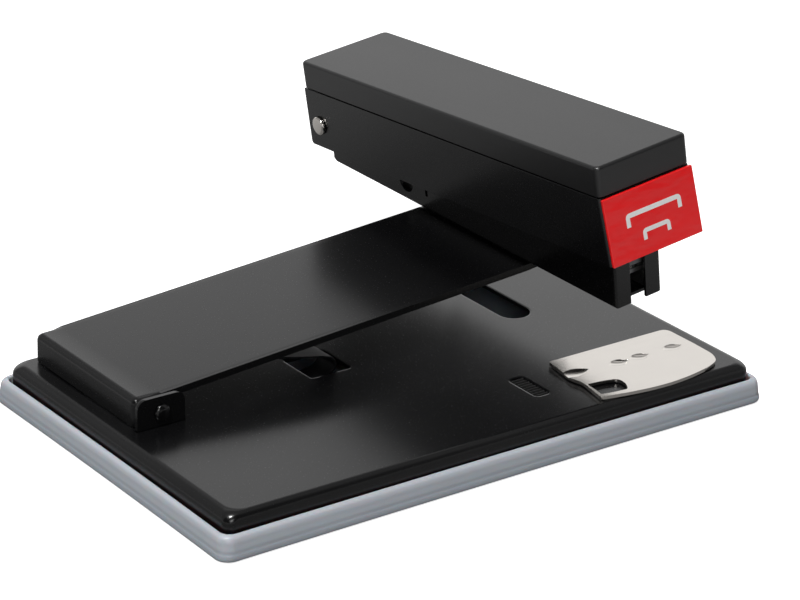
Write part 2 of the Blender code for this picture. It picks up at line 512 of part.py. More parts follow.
seat = body_from(soften(box(mu0, mu1, 40.0, 50.0, MAG_TOP + 0.3, MAG_TOP + 1.1), 1.5, 3,
                        lambda a, b: abs(a.z - b.z) > 0.5))
combine(seat, [body_from(turned([(MAG_TOP + 0.5, 2.4), (MAG_TOP + 2.6, 2.4), (MAG_TOP + 3.0, 2.0)],
                                (HEAD_CENTRE, 45, 0), "Z", 20))], "UNION")
finish(seat, "spring_seat", ZINC, frame=ARM, origin=HINGE_POINT, smooth=35)
lift = []
for i in range(4 * 14 + 1):
    turn = 2 * math.pi * i / 14
    lift.append((HEAD_CENTRE + 3.2 * math.cos(turn), 45 + 3.2 * math.sin(turn), MAG_TOP + 1.6 + 5.9 * i / 56))
finish(body_from(wire(lift, 0.35, 5)), "handle_spring", SPRING_STEEL, frame=ARM, origin=HINGE_POINT,
       smooth=50)

# ---------------------------------------------------------------- handle: steel channel, cover, label
FRONT_TOP, FRONT_BOTTOM = -115.4, -117.3
handle_view = [(5.2, -5.6), (4.6, -6.2), (FRONT_BOTTOM, -7.45), (FRONT_TOP, 9.2), (5.2, 9.2)]
frame_body = prism(handle_view, HEAD_LEFT, HEAD_RIGHT, "X")
soften(frame_body, 1.0, 3, lambda a, b: abs(a.x - b.x) < 0.1 and a.y < -110 and b.y < -110)
handle_frame = body_from(frame_body)
inner_view = [(10, -20), (FRONT_BOTTOM + 1.3, -20), (FRONT_TOP + 1.1, 8.2), (10, 8.2)]
COVER_SCREWS = {"front": -92.0, "rear": -22.0}
cuts = [body_from(prism(inner_view, HEAD_LEFT + 1.0, HEAD_RIGHT - 1.0, "X")),
        body_from(turned([(-2, 2.0), (30, 2.0)], (0, 0, 0), "X", 32))]
cuts += [body_from(turned([(6, 1.5), (10, 1.5)], (HEAD_CENTRE, y, 0), "Z", 16))
         for y in COVER_SCREWS.values()]
finish(combine(handle_frame, cuts), "handle_frame", BLACK_STEEL, frame=HANDLE, origin=PIN_POINT, smooth=35)


def cover_ring(inset, z, y_front=-115.6, y_rear=5.3, radius=1.4):
    half_width, half_length = HEAD_RIGHT - HEAD_CENTRE - inset, (y_rear - y_front) / 2 - inset
    ring = rounded_rectangle(half_width, half_length, max(radius - inset * 0.5, 0.3), z, corner_steps=4,
                             side_steps=1)
    return [(x + HEAD_CENTRE, y + (y_rear + y_front) / 2, z + (0.003 * -y if z > 14 else 0))
            for x, y, z in ring]


cover_rings = [cover_ring(0.0, 9.5), cover_ring(0.0, 15.9), cover_ring(0.15, 16.3), cover_ring(0.5, 16.6)]
cover = body_from(loft(cover_rings))
combine(cover, [body_from(loft([cover_ring(1.4, 8.5), cover_ring(1.4, 13.9)]))])
bosses = [body_from(turned([(9.7, 2.6), (15.0, 2.6)], (HEAD_CENTRE, y, 0), "Z", 16))
          for y in COVER_SCREWS.values()]
combine(cover, bosses, "UNION")
combine(cover, [body_from(turned([(9.0, 1.35), (13.4, 1.35)], (HEAD_CENTRE, y, 0), "Z", 16))
                for y in COVER_SCREWS.values()])
finish(cover, "top_cover", BLACK_PLASTIC, frame=HANDLE, origin=PIN_POINT, smooth=30)

for side, y in COVER_SCREWS.items():
    screw = turned([(7.0, 1.6), (7.3, 2.2), (7.9, 2.2), (7.9, 1.2), (12.9, 1.2), (13.1, 1.0)],
                   (HEAD_CENTRE, y, 0), "Z", 16)
    finish(body_from(screw), "cover_screw_" + side, ZINC, frame=HANDLE, origin=PIN_POINT, smooth=35)

lean = (FRONT_TOP - FRONT_BOTTOM) / (9.2 + 7.45)
label_view = [(FRONT_TOP - 0.3 - lean * (9.2 - v) - d, v)
              for v, d in ((9.1, 0), (-7.3, 0), (-7.3, 0.8), (9.1, 0.8))]
label = soften(prism(label_view, HEAD_LEFT + 0.1, HEAD_RIGHT - 0.1, "X"), 0.25, 2,
               lambda a, b: abs(a.x - b.x) > 10)
finish(body_from(label), "label_plate", RED_LABEL, frame=HANDLE, origin=PIN_POINT, smooth=35)

# ---------------------------------------------------------------- driver blade and its mounting
BLADE_Y = -108.4
blade = body_from(soften(box(HEAD_CENTRE - 5.9, HEAD_CENTRE + 5.9, BLADE_Y, BLADE_Y + 0.6, -13.7, 7.6),
                         0.4, 2, lambda a, b: a.z > 7 and b.z > 7 and abs(a.y - b.y) > 0.3))
block = body_from(box(HEAD_CENTRE - 6.5, HEAD_CENTRE + 6.5, BLADE_Y + 0.9, -101.5, 3.4, 7.9))
blade_holes, block_holes = [], []
DRIVER_RIVETS = {"left": HEAD_CENTRE - 3.6, "right": HEAD_CENTRE + 3.6}
for u in DRIVER_RIVETS.values():
    blade_holes.append(body_from(turned([(BLADE_Y - 1, 1.0), (BLADE_Y + 2, 1.0)], (u, 0, 5.6), "Y", 16)))
    block_holes.append(body_from(turned([(BLADE_Y - 1, 1.0), (-104.5, 1.0)], (u, 0, 5.6), "Y", 16)))
finish(combine(blade, blade_holes), "driver_blade", SPRING_STEEL, frame=HANDLE, origin=PIN_POINT, smooth=35)
finish(combine(block, block_holes), "driver_block", ZINC, frame=HANDLE, origin=PIN_POINT, smooth=35)
for side, u in DRIVER_RIVETS.items():
    rivet = turned([(BLADE_Y - 0.75, 1.0), (BLADE_Y - 0.3, 1.6), (BLADE_Y - 0.25, 0.8), (-104.8, 0.8)],
                   (u, 0, 5.6), "Y", 14)
    finish(body_from(rivet), "driver_rivet_" + side, ZINC, frame=HANDLE, origin=PIN_POINT, smooth=35)
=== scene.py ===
"""Finished look of a flat-bed desk stapler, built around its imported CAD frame.

Sizes are millimetres in each section and become metres when a piece is cast.
"""
import math

import bmesh
import bpy
from mathutils import Matrix, Vector


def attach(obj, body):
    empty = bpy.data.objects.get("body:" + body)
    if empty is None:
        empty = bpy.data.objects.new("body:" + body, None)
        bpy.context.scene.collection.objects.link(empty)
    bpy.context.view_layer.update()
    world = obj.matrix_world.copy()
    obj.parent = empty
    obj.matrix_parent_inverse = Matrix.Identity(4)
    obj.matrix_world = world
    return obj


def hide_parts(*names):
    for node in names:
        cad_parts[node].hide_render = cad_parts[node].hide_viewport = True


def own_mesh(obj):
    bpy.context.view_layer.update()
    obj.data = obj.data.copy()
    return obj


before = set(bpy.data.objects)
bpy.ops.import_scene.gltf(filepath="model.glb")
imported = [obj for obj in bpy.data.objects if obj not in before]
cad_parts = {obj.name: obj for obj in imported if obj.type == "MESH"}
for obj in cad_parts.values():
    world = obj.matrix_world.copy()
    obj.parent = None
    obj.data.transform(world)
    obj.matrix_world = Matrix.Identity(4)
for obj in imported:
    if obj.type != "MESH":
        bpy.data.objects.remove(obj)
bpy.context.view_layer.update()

# ------------------------------------------------------------------ camera
# A long lens from the operator's left, a little above the deck, rolled very slightly.
CAMERA_PLACE = (-0.3951, -0.5341, 0.3110)
CAMERA_AZIMUTH, CAMERA_DROP, CAMERA_ROLL = map(math.radians, (36.79, 23.21, 1.885))
ahead = Vector((math.sin(CAMERA_AZIMUTH) * math.cos(CAMERA_DROP),
                math.cos(CAMERA_AZIMUTH) * math.cos(CAMERA_DROP), -math.sin(CAMERA_DROP)))
level = Vector((math.cos(CAMERA_AZIMUTH), -math.sin(CAMERA_AZIMUTH), 0))
upright = level.cross(ahead)
across = math.cos(CAMERA_ROLL) * level + math.sin(CAMERA_ROLL) * upright
above = math.cos(CAMERA_ROLL) * upright - math.sin(CAMERA_ROLL) * level
camera = bpy.data.objects.new("camera", bpy.data.cameras.new("camera"))
camera.data.sensor_width = 36.0
camera.data.lens = 138.39
camera.data.clip_start, camera.data.clip_end = 0.02, 20.0
camera.matrix_world = Matrix.Translation(CAMERA_PLACE) @ Matrix((across, above, -ahead)).transposed().to_4x4()
bpy.context.scene.collection.objects.link(camera)
bpy.context.scene.camera = camera
bpy.context.scene.view_settings.view_transform = "Standard"

# ------------------------------------------------------------------ studio: white tent, softboxes and table
# A tent whose brightness changes with direction, a small softbox high at the front left and a weak
# wide one low in front for the pressed edges. The table glows white to the camera and in reflections
# shows a painted shade: grey, darkest in a ring round the stapler and paler further out.


class Wire:
    """One output of a node, with the arithmetic that numbers need on the way to a socket."""

    def __init__(self, nodes, socket):
        self.nodes, self.socket = nodes, socket

    def maths(self, operation, first, second):
        return self.nodes.add("ShaderNodeMath", {"operation": operation}, {0: first, 1: second})

    def __add__(self, other):
        return self.maths("ADD", self, other)

    __radd__ = __add__

    def __mul__(self, other):
        return self.maths("MULTIPLY", self, other)

    __rmul__ = __mul__

    def __sub__(self, other):
        return self.maths("SUBTRACT", self, other)

    def __rsub__(self, other):
        return self.maths("SUBTRACT", other, self)

    def __truediv__(self, other):
        return self.maths("DIVIDE", self, other)


class Nodes:
    """A node tree that is filled one node at a time."""

    def __init__(self, tree):
        self.tree = tree

    def add(self, kind, settings=None, feeds=None, output=0):
        node = self.tree.nodes.new(kind)
        for name, value in (settings or {}).items():
            if name == "stops":
                while len(node.color_ramp.elements) < len(value):
                    node.color_ramp.elements.new(0.5)
                for stop, (place, shade) in zip(node.color_ramp.elements, value):
                    stop.position, stop.color = place, (shade, shade, shade, 1)
            else:
                setattr(node, name, value)
        for name, value in (feeds or {}).items():
            self.feed(node.inputs[name], value)
        return Wire(self, node.outputs[output]) if node.outputs else node

    def feed(self, socket, value):
        if isinstance(value, Wire):
            self.tree.links.new(value.socket, socket)
        else:
            socket.default_value = value


class Finish(Nodes):
    """A material on one Principled shader; constants sit on the shader's own sockets."""

    def __init__(self, name, **constants):
        self.material = bpy.data.materials.new(name)
        self.material.use_nodes = True
        super().__init__(self.material.node_tree)
        self.shader = self.tree.nodes["Principled BSDF"]
        for key, value in constants.items():
            self.shader.inputs[key.replace("_", " ")].default_value = value
        self.place = self.add("ShaderNodeTexCoord", output=3)

    def noise(self, scale, detail=2.0, stretch=None, roughness=0.5):
        """Cloudy variation; scale is in blobs per metre of the object."""
        place = self.place
        if stretch:
            place = self.add("ShaderNodeMapping", None, {"Vector": place, "Scale": stretch})
        return self.add("ShaderNodeTexNoise", None,
                        {"Vector": place, "Scale": scale, "Detail": detail, "Roughness": roughness})

    def ramp(self, value, *stops):
        return self.add("ShaderNodeValToRGB", {"stops": stops}, {"Fac": value})

    def tint(self, amount, first, second):
        """Colour between first and second, four numbers each or wires."""
        return self.add("ShaderNodeMix", {"data_type": "RGBA"}, {0: amount, 6: first, 7: second}, output=2)

    def bump(self, height, distance, strength=1.0, below=None):
        feeds = {"Height": height, "Distance": distance, "Strength": strength}
        if below is not None:
            feeds["Normal"] = below
        return self.add("ShaderNodeBump", None, feeds)

    def wear(self, **sockets):
        """Connect what changes over the surface."""
        for key, value in sockets.items():
            self.feed(self.shader.inputs[key.replace("_", " ")], value)
        return self.material


def cast(name, bm, material, place=None):
    """Turn a bmesh in millimetres into a piece in metres with its place in its mesh."""
    bmesh.ops.remove_doubles(bm, verts=bm.verts, dist=1e-5)
    bmesh.ops.recalc_face_normals(bm, faces=bm.faces)
    mesh = bpy.data.meshes.new(name)
    bm.to_mesh(mesh)
    bm.free()
    if place is not None:
        mesh.transform(place)
    mesh.transform(Matrix.Scale(0.001, 4))
    piece = bpy.data.objects.new(name, mesh)
    bpy.context.scene.collection.objects.link(piece)
    if material is not None:
        mesh.materials.append(material)
    return piece


board = Finish("pale_board", Roughness=0.9, Emission_Strength=0.8)
board_grain = board.noise(90, 3)
board_reach = board.add("ShaderNodeVectorMath", {"operation": "LENGTH"}, {0: board.place}, output=1)
# Painted shade: in reflections the board's colour is a grey graded by distance from the stapler, darkest in a
# ring round it.
board_painted_shade = board.ramp(board_reach * 2.0, (0.0, 0.24), (0.16, 0.20), (0.20, 0.16), (0.30, 0.42),
                         (0.60, 0.50), (1.0, 0.50))
board_pale = board.tint(board_grain, (0.78, 0.78, 0.78, 1), (0.82, 0.82, 0.82, 1))
seen = board.add("ShaderNodeLightPath")
board.wear(Base_Color=board.tint(seen, board_painted_shade, board_pale),
           Emission_Color=board.tint(seen, (0, 0, 0, 1), (1, 1, 1, 1)))
table_bm = bmesh.new()
bmesh.ops.create_grid(table_bm, x_segments=2, y_segments=2, size=3000)
table = cast("table", table_bm, board.material)
table.data.transform(Matrix.Translation((0, 0, -0.0002)))

# Beyond the stapler the tent is bright near the ground and again in a roof panel, its two sides are
# grey, and it is dark behind the camera. The camera itself sees plain white.
BRIGHT_SIDE = math.radians(36.8)
tent_world = bpy.data.worlds.new("tent")
bpy.context.scene.world = tent_world
tent_world.use_nodes = True
tent = Nodes(tent_world.node_tree)
direction = tent.add("ShaderNodeTexCoord")
facing = tent.add("ShaderNodeVectorMath", {"operation": "DOT_PRODUCT"}, {
    0: direction, 1: (math.sin(BRIGHT_SIDE), math.cos(BRIGHT_SIDE), 0)}, output=1) * 0.5 + 0.5
height = tent.add("ShaderNodeSeparateXYZ", None, {0: direction}, output=2)
ascent = tent.add("ShaderNodeValToRGB", {"stops": (
    (0.0, 1.0), (0.42, 1.0), (0.49, 0.75), (0.56, 0.18), (0.63, 0.20), (0.71, 0.80), (0.80, 0.80),
    (0.90, 0.10))}, {"Fac": height})
beyond = tent.add("ShaderNodeValToRGB", {"stops": ((0.68, 0.0), (0.76, 0.5), (0.84, 1.0))}, {"Fac": facing})
sides = tent.add("ShaderNodeValToRGB", {"stops": (
    (0.34, 0.02), (0.36, 0.08), (0.385, 0.36), (0.41, 0.42), (0.47, 0.28), (0.68, 0.28),
    (0.80, 0.0))}, {"Fac": facing})
level_seen = ascent * beyond + sides + 0.02
ray = tent.add("ShaderNodeLightPath")
backdrop = tent_world.node_tree.nodes["Background"]
backdrop.inputs["Color"].default_value = (1, 1, 1, 1)
tent.feed(backdrop.inputs["Strength"], level_seen * (1 - ray) * 1.05 + ray)


def softbox(name, place, aim, size, power):
    lamp = bpy.data.lights.new(name, "AREA")
    lamp.shape, lamp.size, lamp.energy = "SQUARE", size, power
    holder = bpy.data.objects.new(name, lamp)
    holder.location = place
    holder.rotation_euler = (Vector(aim) - Vector(place)).to_track_quat("-Z", "Y").to_euler()
    bpy.context.scene.collection.objects.link(holder)


softbox("key", (-0.42, -0.22, 0.95), (0, 0, 0.02), 0.16, 9.0)
softbox("fill", (-0.55, -0.95, 0.45), (0, 0, 0.03), 0.5, 3.0)

# ------------------------------------------------------------------ soft tray round the base
# A moulded skirt of translucent blue-grey vinyl that the steel base sits in. Its side swells,
# and a shallow groove above the foot lip lets it grip the table.
BASE_LENGTH, BASE_DEPTH = 154.0, 98.5


def rounded_ring(half_x, half_y, radius, z, bow=0.0, corner=10, side=1):
    """Rounded rectangle; bow draws the middle of each side inwards."""
    ring = []
    for sx, sy, start in ((1, 1, 0), (-1, 1, 90), (-1, -1, 180), (1, -1, 270)):
        cx, cy = sx * (half_x - radius), sy * (half_y - radius)
        for i in range(corner + 1):
            turn = math.radians(start + 90 * i / corner)
            ring.append(Vector((cx + radius * math.cos(turn), cy + radius * math.sin(turn), z)))
    if side == 1 and not bow:
        return ring
    full = []
    for index, point in enumerate(ring):
        full.append(point)
        if index % (corner + 1) == corner:
            after = ring[(index + 1) % len(ring)]
            outward = Vector((math.cos(math.radians(90 * (index // (corner + 1) + 1))),
                              math.sin(math.radians(90 * (index // (corner + 1) + 1))), 0))
            for i in range(1, side):
                t = i / side
                full.append(point.lerp(after, t) - outward * bow * (1 - (2 * t - 1) ** 2))
    return full


def skin(bm, rings, cap=True, close=False):
    """Quads between equal rings; cap closes the ends and close joins the last ring to the first."""
    rows = [[bm.verts.new(point) for point in ring] for ring in rings]
    pairs = list(zip(rows, rows[1:])) + ([(rows[-1], rows[0])] if close else [])
    for lower, upper in pairs:
        for i in range(len(lower)):
            j = (i + 1) % len(lower)
            bm.faces.new((lower[i], lower[j], upper[j], upper[i]))
    if cap and not close:
        bm.faces.new(rows[0])
        bm.faces.new(rows[-1])
    return bm


def flowing(points, steps):
    """Smooth line through points, steps to each gap."""
    line = []
    for i in range(len(points) - 1):
        a, b, c, d = (Vector(points[max(min(k, len(points) - 1), 0)]) for k in (i - 1, i, i + 1, i + 2))
        for s in range(steps):
            t = s / steps
            line.append(0.5 * (2 * b + (c - a) * t + (2 * a - 5 * b + 4 * c - d) * t * t
                               + (3 * b - a - 3 * c + d) * t ** 3))
    return line + [Vector(points[-1])]


def dress(piece, smooth=40, bevel=0.0, segments=3, angle=28):
    """Round the edges of a piece, shade it by face area and leave a plain mesh."""
    if bevel:
        rounding = piece.modifiers.new("rounding", "BEVEL")
        rounding.width, rounding.segments = bevel * 0.001, segments
        rounding.limit_method, rounding.angle_limit = "ANGLE", math.radians(angle)
        rounding.use_clamp_overlap = True
        rounding.miter_outer = "MITER_ARC"
    plain(piece)
    for face in piece.data.polygons:
        face.use_smooth = True
    piece.data.set_sharp_from_angle(angle=math.radians(smooth))
    weighting = piece.modifiers.new("weighting", "WEIGHTED_NORMAL")
    weighting.keep_sharp = True
    return plain(piece)


def plain(piece):
    """Replace a piece's mesh by what its modifiers make, and drop them."""
    if piece.modifiers:
        made = bpy.data.meshes.new_from_object(
            piece.evaluated_get(bpy.context.evaluated_depsgraph_get()),
            preserve_all_data_layers=True, depsgraph=bpy.context.evaluated_depsgraph_get())
        made.name = piece.name
        piece.modifiers.clear()
        piece.data = made
    return piece


def mount(piece, body, slot, *nodes):
    """Fix a finished piece to its body, in place of the nodes it stands for."""
    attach(piece, body)
    if nodes:
        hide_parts(*nodes)
    return piece


vinyl = Finish("tray_vinyl", IOR=1.5, Subsurface_Weight=0.25, Subsurface_Scale=0.004)
vinyl_depth = vinyl.add("ShaderNodeSeparateXYZ", None, {0: vinyl.place}, output=2) * 1000.0
vinyl_cloud = vinyl.noise(55, 3, (1, 1, 3))
# Painted shade: the vinyl's colour darkens towards the bottom of the skirt.
vinyl_painted_shade = vinyl.ramp(vinyl_depth / 6.0 + (vinyl_cloud - 0.5) * 0.25,
                         (0.0, 0.30), (0.16, 0.36), (0.30, 0.34), (0.42, 0.50), (0.95, 0.62))
vinyl_scuff = vinyl.noise(420, 4, (1, 1, 0.3))
vinyl_along, vinyl_deep = (vinyl.add("ShaderNodeMath", {"operation": "ABSOLUTE"}, {0: vinyl.add(
    "ShaderNodeSeparateXYZ", None, {0: vinyl.place}, output=k)}) for k in (0, 1))
# Painted shade: the tray's floor inside the rim, under the steel base, takes the darkest tone.
inside = (vinyl_along.maths("LESS_THAN", vinyl_along, 0.0752)
          * vinyl_deep.maths("LESS_THAN", vinyl_deep, 0.0474))
vinyl.wear(
    Base_Color=vinyl.tint(vinyl_painted_shade * (1.0 - inside * 1.35), (0.25, 0.28, 0.32, 1), (0.56, 0.59, 0.635, 1)),
    Roughness=0.26 + vinyl_scuff * 0.22,
    Normal=vinyl.bump(vinyl_scuff, 0.00002, 0.5, vinyl.bump(vinyl_cloud, 0.0003, 0.35)))

tray_side = flowing([(0.3, 0.0), (-0.1, 0.08), (-0.42, 0.4), (-0.5, 0.9), (-0.44, 1.5), (-0.32, 1.95),
                     (-0.28, 2.3), (-0.26, 2.8), (-0.12, 3.7), (0.0, 4.6), (0.25, 5.35), (0.6, 5.75),
                     (0.95, 5.95), (1.3, 5.98), (1.55, 5.8)], 4) + [Vector((1.6, 5.4)), Vector((1.6, 2.0))]
tray_bm = skin(bmesh.new(), [rounded_ring(BASE_LENGTH / 2 - inset, BASE_DEPTH / 2 - inset,
                                          max(3.2 - inset * 0.4, 0.8), z, bow=0.3, side=24)
                             for inset, z in tray_side])
tray = cast("tray_skirt", tray_bm, vinyl.material)
mount(dress(tray, 50), "base", "tray_plastic", "base_tray")

# ------------------------------------------------------------------ rubber feet
# Four round black feet moulded with grip rings, pushed into sockets under the tray. One foot is
# modelled, and Geometry Nodes sets a copy on each of the four places.


def turned(profile, segments=48, axis="Z"):
    """Revolve (distance along the axis, radius) pairs about an axis through the origin."""
    rings = []
    for along, radius in profile:
        ring = []
        for i in range(segments):
            turn = 2 * math.pi * i / segments
            c, s = radius * math.cos(turn), radius * math.sin(turn)
            ring.append(Vector({"Z": (c, s, along), "Y": (s, along, c), "X": (along, c, s)}[axis]))
        rings.append(ring)
    return skin(bmesh.new(), rings)


class Pattern(Nodes):
    """A Geometry Nodes tree with named inputs, ending in Realize Instances and Set Material."""

    def __init__(self, name, **inputs):
        super().__init__(bpy.data.node_groups.new(name, "GeometryNodeTree"))
        self.sockets = {"Geometry": self.tree.interface.new_socket(
            "Geometry", in_out="INPUT", socket_type="NodeSocketGeometry")}
        for key, kind in inputs.items():
            self.sockets[key] = self.tree.interface.new_socket(
                key, in_out="INPUT", socket_type="NodeSocket" + kind)
        self.tree.interface.new_socket("Geometry", in_out="OUTPUT", socket_type="NodeSocketGeometry")
        self.entry = self.tree.nodes.new("NodeGroupInput")

    def given(self, name):
        return Wire(self, self.entry.outputs[name])

    def close(self, shape, material):
        solid = self.add("GeometryNodeRealizeInstances", None, {"Geometry": shape})
        coloured = self.add("GeometryNodeSetMaterial", None, {"Geometry": solid, "Material": material})
        self.add("NodeGroupOutput", None, {"Geometry": coloured})
        return self

    def grow(self, carrier, **values):
        """Run the tree on a carrier mesh, and keep what it makes as the carrier's own mesh."""
        growth = carrier.modifiers.new("growth", "NODES")
        growth.node_group = self.tree
        for key, value in values.items():
            growth[self.sockets[key].identifier] = value
        bpy.context.view_layer.update()
        return plain(carrier)


def points_at(name, places):
    """Loose points in millimetres that a pattern sets its copies on."""
    mesh = bpy.data.meshes.new(name)
    mesh.from_pydata([Vector(place) * 0.001 for place in places], [], [])
    carrier = bpy.data.objects.new(name, mesh)
    bpy.context.scene.collection.objects.link(carrier)
    return carrier


def copies(name, sample, places, material, turn=(0, 0, 0), place=None):
    """Set the sample on every place with the copy pattern, then drop the sample."""
    carrier = copy_pattern.grow(points_at(name, places), Sample=sample, Turn=turn, Finish=material)
    bpy.data.objects.remove(sample, do_unlink=True)
    if place is not None:
        carrier.data.transform(Matrix.Scale(0.001, 4) @ place @ Matrix.Scale(1000, 4))
    return carrier


copy_pattern = Pattern("copy_on_points", Sample="Object", Turn="Vector", Finish="Material")
copied = copy_pattern.add("GeometryNodeObjectInfo", {"transform_space": "ORIGINAL"},
                          {"Object": copy_pattern.given("Sample")}, output="Geometry")
copy_pattern.close(copy_pattern.add("GeometryNodeInstanceOnPoints", None, {
    "Points": copy_pattern.given("Geometry"), "Instance": copied,
    "Rotation": copy_pattern.given("Turn")}), copy_pattern.given("Finish"))

rubber = Finish("foot_rubber")
rubber_grain = rubber.noise(900, 4)
rubber.wear(Base_Color=rubber.tint(rubber_grain, (0.018, 0.018, 0.018, 1), (0.045, 0.045, 0.044, 1)),
            Roughness=0.7 + rubber_grain * 0.25, Normal=rubber.bump(rubber_grain, 0.00006, 0.6))
FOOT_RADIUS = 6.0
foot_profile = [(0.0, 0.2), (0.0, 1.2), (0.15, 1.35), (0.15, 1.75), (0.0, 1.9), (0.0, 2.7), (0.15, 2.85),
                (0.15, 3.25), (0.0, 3.4), (0.0, 4.2), (0.15, 4.35), (0.15, 4.75), (0.0, 4.9), (0.0, 5.6),
                (0.1, 5.85), (0.3, FOOT_RADIUS), (0.9, FOOT_RADIUS), (0.9, 0.2)]
foot = dress(cast("foot_sample", turned(foot_profile, 40), rubber.material), 40)
feet = copies("feet", foot, [(sx * 66, sy * 38, 0) for sx in (-1, 1) for sy in (-1, 1)], rubber.material)
mount(feet, "base", "rubber", "foot_fl", "foot_fr", "foot_bl", "foot_br")

# ------------------------------------------------------------------ pressed steel base
# One sheet drawn into a shallow pan with a rounded skirt, then pierced for the spring, the release
# button, the screw clearance and the hinge ears, and stoved in gloss black enamel.


def arc(centre, radius, start, end, steps):
    """Points on an arc in degrees, as (a, b) pairs."""
    return [(centre[0] + radius * math.cos(math.radians(start + (end - start) * i / steps)),
             centre[1] + radius * math.sin(math.radians(start + (end - start) * i / steps)))
            for i in range(steps + 1)]


def slab(outline, low, high, axis="Z"):
    """Extrude a closed outline along an axis."""
    place = {"X": lambda a, b, t: (t, a, b), "Y": lambda a, b, t: (a, t, b),
             "Z": lambda a, b, t: (a, b, t)}[axis]
    return skin(bmesh.new(), [[Vector(place(a, b, t)) for a, b in outline] for t in (low, high)])


def opening(x0, x1, y0, y1, radius, steps=8, spread=0.0):
    """Outline of a rounded rectangle, grown outwards by spread."""
    outline = []
    for cx, cy, start in ((x1 - radius, y1 - radius, 0), (x0 + radius, y1 - radius, 90),
                          (x0 + radius, y0 + radius, 180), (x1 - radius, y0 + radius, 270)):
        outline += arc((cx, cy), radius + spread, start, start + 90, steps)
    return outline


def rounded_hole(x0, x1, y0, y1, radius, low, high, steps=8):
    return slab(opening(x0, x1, y0, y1, radius, steps), low, high)


def pierce(piece, cutters, operation="DIFFERENCE"):
    """Cut each bmesh in millimetres from a piece, or join it on."""
    for cutter in cutters:
        tool = cast("tool", cutter, None)
        cut = piece.modifiers.new("cut", "BOOLEAN")
        cut.operation, cut.solver, cut.object = operation, "EXACT", tool
        plain(piece)
        bpy.data.objects.remove(tool, do_unlink=True)
    return piece


def enamel_finish(name, gloss, ripple, stretch=(1, 1, 1)):
    """Stoved black enamel: faint orange peel, dust, and a little thinning of the gloss."""
    enamel = Finish(name, IOR=1.5)
    peel = enamel.noise(1300, 2, stretch)
    cloud = enamel.noise(38, 3, stretch)
    dust = enamel.ramp(enamel.noise(2600, 1), (0.0, 0.0), (0.70, 0.0), (0.76, 1.0))
    enamel.wear(
        Base_Color=enamel.tint(cloud, (0.0020, 0.0020, 0.0022, 1), (0.0036, 0.0036, 0.0040, 1)),
        Roughness=gloss - 0.03 + cloud * 0.06 + dust * 0.10,
        Normal=enamel.bump(peel, 0.000004, ripple, enamel.bump(cloud, 0.00006, 0.25)))
    return enamel


base_enamel = enamel_finish("base_enamel", 0.235, 0.5)
DECK_TOP, SKIRT_FOOT = 10.0, 2.5


def pan(side_inset, end_bend, front_bend, spring_line, top):
    """Rings of the drawn pan from its skirt's lower edge up to the deck; the bends are widths."""
    bend = [(0.0, SKIRT_FOOT)] + [(1 - math.cos(t), spring_line + (top - spring_line) * math.sin(t))
                                  for t in (math.radians(90 * i / 16) for i in range(17))]
    return [rounded_ring(BASE_LENGTH / 2 - side_inset - end_bend * share,
                         BASE_DEPTH / 2 - side_inset - front_bend * share,
                         2.4 + 1.3 * share, z, corner=12) for share, z in bend]


pan_bm = bmesh.new()
outer, inner = pan(2.3, 2.5, 1.4, 7.5, DECK_TOP), pan(3.2, 1.7, 0.6, 7.4, DECK_TOP - 1.0)
skin(pan_bm, outer + inner[::-1], cap=False, close=True)
deck_faces = [f for f in pan_bm.faces if min(v.co.z for v in f.verts) > DECK_TOP - 1.1
              and max(v.co.z for v in f.verts) - min(v.co.z for v in f.verts) > 0.9]
bmesh.ops.delete(pan_bm, geom=deck_faces, context="FACES_ONLY")
for z in (DECK_TOP, DECK_TOP - 1.0):
    rim = [e for e in pan_bm.edges if e.is_boundary and all(abs(v.co.z - z) < 1e-4 for v in e.verts)]
    bmesh.ops.contextual_create(pan_bm, geom=rim)
base_pan = cast("base_pan", pan_bm, base_enamel.material)


def eased_rim(place):
    """A shallow flared cutter that rolls the edge of a deck opening over a little."""
    rings = [[Vector((a, b, z)) for a, b in opening(*place, spread=spread)] for spread, z in (
        (-0.1, DECK_TOP - 0.15), (0.2, DECK_TOP - 0.07), (0.5, DECK_TOP), (0.5, DECK_TOP + 1))]
    return skin(bmesh.new(), rings)


SPRING_WINDOW, BUTTON_SLOT = (-19.6, -8.2, 1.5, 13.6, 0.7), (18.7, 23.0, -34.9, -24.0, 1.2)
SCREW_SLOT = (40.6, 49.2, 3.4, 40.0, 4.25)
ANVIL_STUDS, BRACKET_RIVETS = ((42.0, -37.5), (61.0, -37.5)), ((-63.0, 15.0), (-63.0, 33.0))
pierce(base_pan, [eased_rim(place) for place in (SPRING_WINDOW, BUTTON_SLOT, SCREW_SLOT)])
pierce(base_pan, [rounded_hole(*SPRING_WINDOW, 7, 12), rounded_hole(*BUTTON_SLOT, 7, 12),
                  rounded_hole(*SCREW_SLOT, 7, 12, 16),
                  rounded_hole(-69.5, -56.3, -1.9, -0.3, 0.3, 7, 12),
                  rounded_hole(-66.7, -58.7, 41.6, 43.2, 0.3, 7, 12)]
       + [rounded_hole(x - 1.8, x + 1.8, y - 1.8, y + 1.8, 1.79, 7, 12)
          for x, y in ANVIL_STUDS + BRACKET_RIVETS])
mount(dress(base_pan, 40, 0.16, 2), "base", "black_steel", "base_shell")

# ------------------------------------------------------------------ hinge bracket and its pin
# A steel strip riveted under the deck, with an ear bent up through the deck at each end to carry the
# arm's pin. It is enamelled with the base, and the pin's domed head is painted over with it.
EAR_FRONT, EAR_REAR = (-69.2, -56.6, -1.6, -0.6, 17.4, 2.4), (-66.4, -59.0, 41.9, 42.9, 15.1, 1.6)
HINGE = (-62.7, 13.4)


def ear(x0, x1, y0, y1, top, radius):
    outline = [(x0, 7.7), (x1, 7.7)] + arc((x1 - radius, top - radius), radius, 0, 90, 10)
    outline += arc((x0 + radius, top - radius), radius, 90, 180, 10)
    return slab(outline, y0, y1, "Y")


def hole_along_y(x, z, radius, y0, y1):
    bm = turned([(y0, radius), (y1, radius)], 48, "Y")
    bmesh.ops.translate(bm, vec=(x, 0, z), verts=bm.verts)
    return bm


